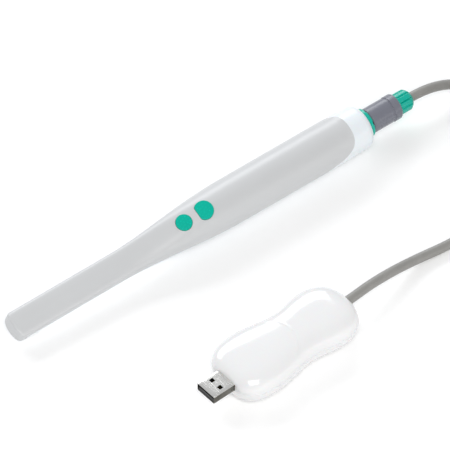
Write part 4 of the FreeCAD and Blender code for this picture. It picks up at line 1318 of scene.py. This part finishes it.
@dataclass
class UsbShell:
    """The plug's folded metal shell: rounded corners, two square windows each side, and its seam underneath."""

    places: Places
    centre: float = 9.4
    width: float = 12.0
    height: float = 4.5
    corner: float = 0.55
    sheet: float = 0.3
    front: float = -49.5
    rear: float = -29.0
    windows: Pair = (-44.3, -42.1)
    window_inner: float = 1.75
    window_outer: float = 3.95
    seam: float = 0.06

    def around(self) -> List[Tuple[Vector, Vector]]:
        """The outline's points with their inner partners, starting and ending at the seam under the plug."""
        half_w, half_h = self.width / 2, self.height / 2
        marks = (self.window_inner, self.window_outer)
        top = [-marks[1], -marks[0], 0.0, marks[0], marks[1]]
        spots: List[Tuple[float, float, float, float]] = []
        spots += [(y, -half_h, y, -half_h + self.sheet) for y in (self.seam, *marks)]
        spots += self.bend(1, -1)
        spots += self.bend(1, 1)
        spots += [(y, half_h, y, half_h - self.sheet) for y in reversed(top)]
        spots += self.bend(-1, 1)
        spots += self.bend(-1, -1)
        spots += [(-y, -half_h, -y, -half_h + self.sheet) for y in (marks[1], marks[0], self.seam)]
        return [(Vector((0, y, z + self.centre)), Vector((0, inner_y, inner_z + self.centre)))
                for y, z, inner_y, inner_z in spots]

    def bend(self, side: int, rise: int) -> List[Tuple[float, float, float, float]]:
        """One rounded corner's points, in the order that runs round the plug."""
        centre_y = side * (self.width / 2 - self.corner)
        centre_z = rise * (self.height / 2 - self.corner)
        start = {(1, -1): -90, (1, 1): 0, (-1, 1): 90, (-1, -1): 180}[(side, rise)]
        spots = []
        for step in spread(start, start + 90, 5):
            way_y, way_z = math.cos(math.radians(step)), math.sin(math.radians(step))
            inner = self.corner - self.sheet
            spots.append((centre_y + way_y * self.corner, centre_z + way_z * self.corner,
                          centre_y + way_y * inner, centre_z + way_z * inner))
        return spots

    def make(self) -> None:
        """Builds the shell and settles it."""
        ring = self.around()
        stations = [self.front, self.front + 0.08, self.front + 2.5, *self.windows, -39.0, -34.0, self.rear]
        skin = Skin()
        rows = []
        for x in stations:
            draw = 0.06 if x == self.front else 0.0
            middle = Vector((0, 0, self.centre))
            rows.append([skin.spot(Vector((x, 0, 0)) + outer + (middle - outer) * (draw / 3),
                                   Vector((x, 0, 0)) + inner) for outer, inner in ring])
        edge = self.window_inner - 0.01, self.window_outer + 0.01

        def window(row: int, column: int) -> bool:
            """Says whether a cell is one of the four windows."""
            if stations[row] != self.windows[0]:
                return False
            reach = abs(ring[column][0].y + ring[column + 1][0].y) / 2
            flat = abs(ring[column][0].z - ring[column + 1][0].z) < 1e-6
            return flat and edge[0] < reach < edge[1]

        skin.weave(rows, window)
        piece = lay("usb_shell_skin", *skin.closed(), self.places.pod)
        settle(piece, "cable_assembly", "bright_metal", "usb_shell")


# ---------------------------------------------------------------- the cable

WAND_ROUTE = [(0.1085, 0.0456, 0.01145), (0.1195, 0.0456, 0.01145), (0.1310, 0.0448, 0.0109),
              (0.1410, 0.0422, 0.0088), (0.1500, 0.0384, 0.0050), (0.1600, 0.0344, 0.0026),
              (0.1710, 0.0332, 0.0024), (0.1820, 0.0282, 0.0024)]
POD_ROUTE = [(0.1840, -0.0256, 0.0166), (0.1700, -0.0320, 0.0165), (0.1550, -0.0364, 0.0142),
             (0.1370, -0.0356, 0.0084), (0.1180, -0.0343, 0.0036), (0.0980, -0.0332, 0.0024),
             (0.0790, -0.0328, 0.0024), (0.0630, -0.0312, 0.0030), (0.0470, -0.0324, 0.0064),
             (0.0310, -0.0343, 0.0089), (0.0180, -0.0362, 0.0094), (0.0050, -0.0370, 0.0094)]


@dataclass
class Cable:
    """The cable from the plug's nut to the housing, with its spare length in a tied coil."""

    places: Places
    diameter: float = 0.0048
    length: float = 2.25
    centre: Pair = (0.164, 0.0006)
    layers: int = 4
    turns: int = 3
    inner: float = 0.0232
    per_turn: int = 16
    first: float = 36.0
    last: float = -30.0
    lead: float = 0.28
    shift: float = 0.22

    def coil(self) -> List[Tuple[float, float, float]]:
        """The coil's points: turns side by side in a layer, and layers on each other.

        Returns:
            Points from the bottom layer's outer turn, clockwise, to the top layer's outer turn.
        """
        widen = 1 / math.cos(math.pi / self.per_turn)
        whole = self.layers * self.turns - 1 + (self.first - self.last) / 360.0
        count = round(whole * self.per_turn)
        points = []
        for index in range(count + 1):
            gone = index * whole / count
            layer = int((gone + self.lead) // self.turns)
            place = gone + self.lead - layer * self.turns
            rank = min(int(place) + ease(place % 1.0, 1 - self.shift, self.shift), self.turns - 1.0)
            if layer % 2 == 0:
                rank = self.turns - 1 - rank
            climb = ease(place, self.turns - self.shift, self.shift)
            radius = (self.inner + rank * self.diameter) * widen
            level = self.diameter * (0.5 + min(layer + climb, self.layers - 1.0))
            turn = math.radians(self.first - gone * 360.0)
            points.append((self.centre[0] + radius * math.cos(turn), self.centre[1] + radius * math.sin(turn),
                           level))
        return points

    def make(self) -> None:
        route = WAND_ROUTE + self.coil() + POD_ROUTE
        curve = bpy.data.curves.new("cable", "CURVE")
        curve.dimensions = "3D"
        curve.bevel_depth = self.diameter / 2
        curve.bevel_resolution = 6
        curve.use_fill_caps = True
        spline = curve.splines.new("NURBS")
        spline.points.add(len(route) - 1)
        for point, spot in zip(spline.points, route):
            point.co = (*spot, 1.0)
        spline.order_u = 3
        spline.use_endpoint_u = True
        spline.resolution_u = 8
        piece = bpy.data.objects.new("cable", curve)
        bpy.context.scene.collection.objects.link(piece)
        settle(piece, "cable_assembly", "grey_cable", "cable_wand_side", "cable_coil", "cable_pod_side")
        self.tie()

    def tie(self) -> List[bpy.types.Object]:
        """Builds the strap that holds the coil and its head, and returns both."""
        turn = math.radians(15.0)
        wide = self.turns * self.diameter / MM
        high = self.layers * self.diameter / MM
        middle = (self.inner + (self.turns - 1) * self.diameter / 2) / MM
        place = (Matrix.Translation((*self.centre, 0.0)) @ Matrix.Rotation(turn, 4, "Z") @ Matrix.Scale(MM, 4)
                 @ Matrix.Translation((middle, 0.0, 0.0)))
        thick = 0.5
        half_w = wide / 2 + 0.1
        path = outline([Corner(-half_w, 0.02, 2.0), Corner(half_w, 0.02, 2.0), Corner(half_w, high + 0.1, 2.0),
                        Corner(-half_w, high + 0.1, 2.0)], 6)
        centre = Vector((0.0, high / 2))
        skin = Skin()
        rows = []
        for along in (-1.3, -1.2, 1.2, 1.3):
            draw = thick * 0.6 if abs(along) > 1.25 else thick
            row = []
            for x, z in path + path[:1]:
                way = Vector((x, z)) - centre
                out = Vector((x, z)) + way.normalized() * draw
                row.append(skin.spot(Vector((out.x, along, max(out.y, 0.01))), Vector((x, along, max(z, 0.1)))))
            rows.append(row)
        skin.weave(rows)
        strap = settle(lay("cable_tie", *skin.closed(), place), "cable_assembly", "black_plastic")
        corners = [Corner(-2.2, -1.9, 0.4), Corner(2.2, -1.9, 0.4), Corner(2.2, 1.9, 0.4), Corner(-2.2, 1.9, 0.4)]
        base = outline(corners)
        points = [Vector((x, y, high + level)) for level, draw in ((0.5, 1.0), (1.5, 1.0), (1.8, 0.9))
                  for x, y in [(spot[0] * draw, spot[1] * draw) for spot in base]]
        head = lay("cable_tie_head", points, stack_faces(3, len(base)), place)
        return [strap, settle(head, "cable_assembly", "black_plastic")]


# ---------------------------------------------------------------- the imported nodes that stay

def dress_nodes() -> None:
    """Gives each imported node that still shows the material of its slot."""
    slots = {part["node"]: part["material_slot"] for part in frame["record"]["subparts"]}
    for name, node in frame["nodes"].items():
        if node.hide_render:
            continue
        node.data.materials.clear()
        node.data.materials.append(PAINTS.get(slots[name]))
        node.data.shade_smooth()
        node.data.set_sharp_from_angle(angle=math.radians(30))
        LOG.info("%s in %s", name, slots[name])


# ---------------------------------------------------------------- the studio

@dataclass(frozen=True)
class Lamp:
    """A soft square light."""

    name: str
    place: Tuple[float, float, float]
    size: Pair
    power: float
    colour: Tuple[float, float, float] = (1.0, 1.0, 1.0)

    def make(self, target: Vector) -> None:
        """Hangs the light so that it faces a target."""
        data = bpy.data.lights.new(self.name, "AREA")
        data.shape = "RECTANGLE"
        data.size, data.size_y = self.size
        data.energy = self.power
        data.color = self.colour
        light = bpy.data.objects.new(self.name, data)
        light.location = self.place
        light.rotation_euler = (target - Vector(self.place)).to_track_quat("-Z", "Y").to_euler()
        bpy.context.scene.collection.objects.link(light)


@dataclass
class Studio:
    """The camera, the pale floor and the soft lights."""

    target: Vector = field(default_factory=lambda: Vector((0.0056, 0.0432, 0.0)))
    way: Vector = field(default_factory=lambda: Vector((-0.4075, -0.5259, 0.7466)))
    distance: float = 6.0
    lens: float = 1018.0

    def make_camera(self) -> None:
        """Sets the camera."""
        data = bpy.data.cameras.new("camera")
        data.lens = self.lens
        data.sensor_width = 36.0
        data.clip_start, data.clip_end = 0.05, 20.0
        camera = bpy.data.objects.new("camera", data)
        camera.location = self.target + self.way.normalized() * self.distance
        camera.rotation_euler = self.way.to_track_quat("Z", "Y").to_euler()
        bpy.context.scene.collection.objects.link(camera)
        bpy.context.scene.camera = camera

    def make_floor(self) -> None:
        """Lays the floor and marks it as stage."""
        half = 3.0
        mesh = bpy.data.meshes.new("floor")
        corners = [(-half, -half, 0.0), (half, -half, 0.0), (half, half, 0.0), (-half, half, 0.0)]
        mesh.from_pydata(corners, [], [(0, 1, 2, 3)])
        floor = bpy.data.objects.new("floor", mesh)
        bpy.context.scene.collection.objects.link(floor)
        paint = Paint("pale_floor")
        cloud = paint.noise(paint.place(), 300.0, 3.0)
        colour = paint.blend(cloud, (0.88, 0.88, 0.88, 1), (0.9, 0.9, 0.9, 1))
        inputs = {"Base Color": colour, "Roughness": 0.9, "Emission Color": (1, 1, 1, 1), "Emission Strength": 0.1}
        mesh.materials.append(paint.finish(paint.add("ShaderNodeBsdfPrincipled", {}, inputs)))
        floor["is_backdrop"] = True

    def make_lights(self) -> None:
        """Hangs the soft lights and sets the pale surroundings."""
        world = bpy.data.worlds.new("studio")
        world.use_nodes = True
        back = world.node_tree.nodes["Background"]
        back.inputs["Color"].default_value = (0.97, 0.98, 1.0, 1.0)
        back.inputs["Strength"].default_value = 0.5
        bpy.context.scene.world = world
        bpy.context.scene.view_settings.view_transform = "Standard"
        for lamp in (Lamp("key", (-0.5, -0.9, 1.3), (0.9, 0.9), 15.0, (1.0, 0.99, 0.97)),
                     Lamp("rear", (0.3, 1.3, 0.8), (1.8, 0.7), 17.0, (0.96, 0.98, 1.0)),
                     Lamp("low_front", (0.4, -1.3, 0.25), (1.6, 0.35), 2.2, (1.0, 0.99, 0.96))):
            lamp.make(self.target)


def plain(corners: Tuple[Vector, Vector]) -> List[List[float]]:
    """A box's corners as plain numbers."""
    return [list(corner) for corner in corners]


def main() -> None:
    """Builds the looks in order: the studio, the cable, then the pieces from the tip to the plug."""
    logging.basicConfig(level=logging.INFO, format="%(name)s: %(message)s")
    cad_box = plain(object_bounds())
    studio = Studio()
    studio.make_camera()
    studio.make_floor()
    studio.make_lights()
    places = Places.read()
    Cable(places).make()
    casing = Casing(places)
    casing.make_upper()
    casing.make_lower()
    Button(places, "mode_button", 0.0, 4.0).make()
    Button(places, "capture_button", 11.44, 4.7, 3.5).make()
    PlugEnd(places).make()
    Pod(places).make()
    UsbShell(places).make()
    dress_nodes()
    {"cad": cad_box, "visual": plain(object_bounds())}


if __name__ == "__main__":
    main()
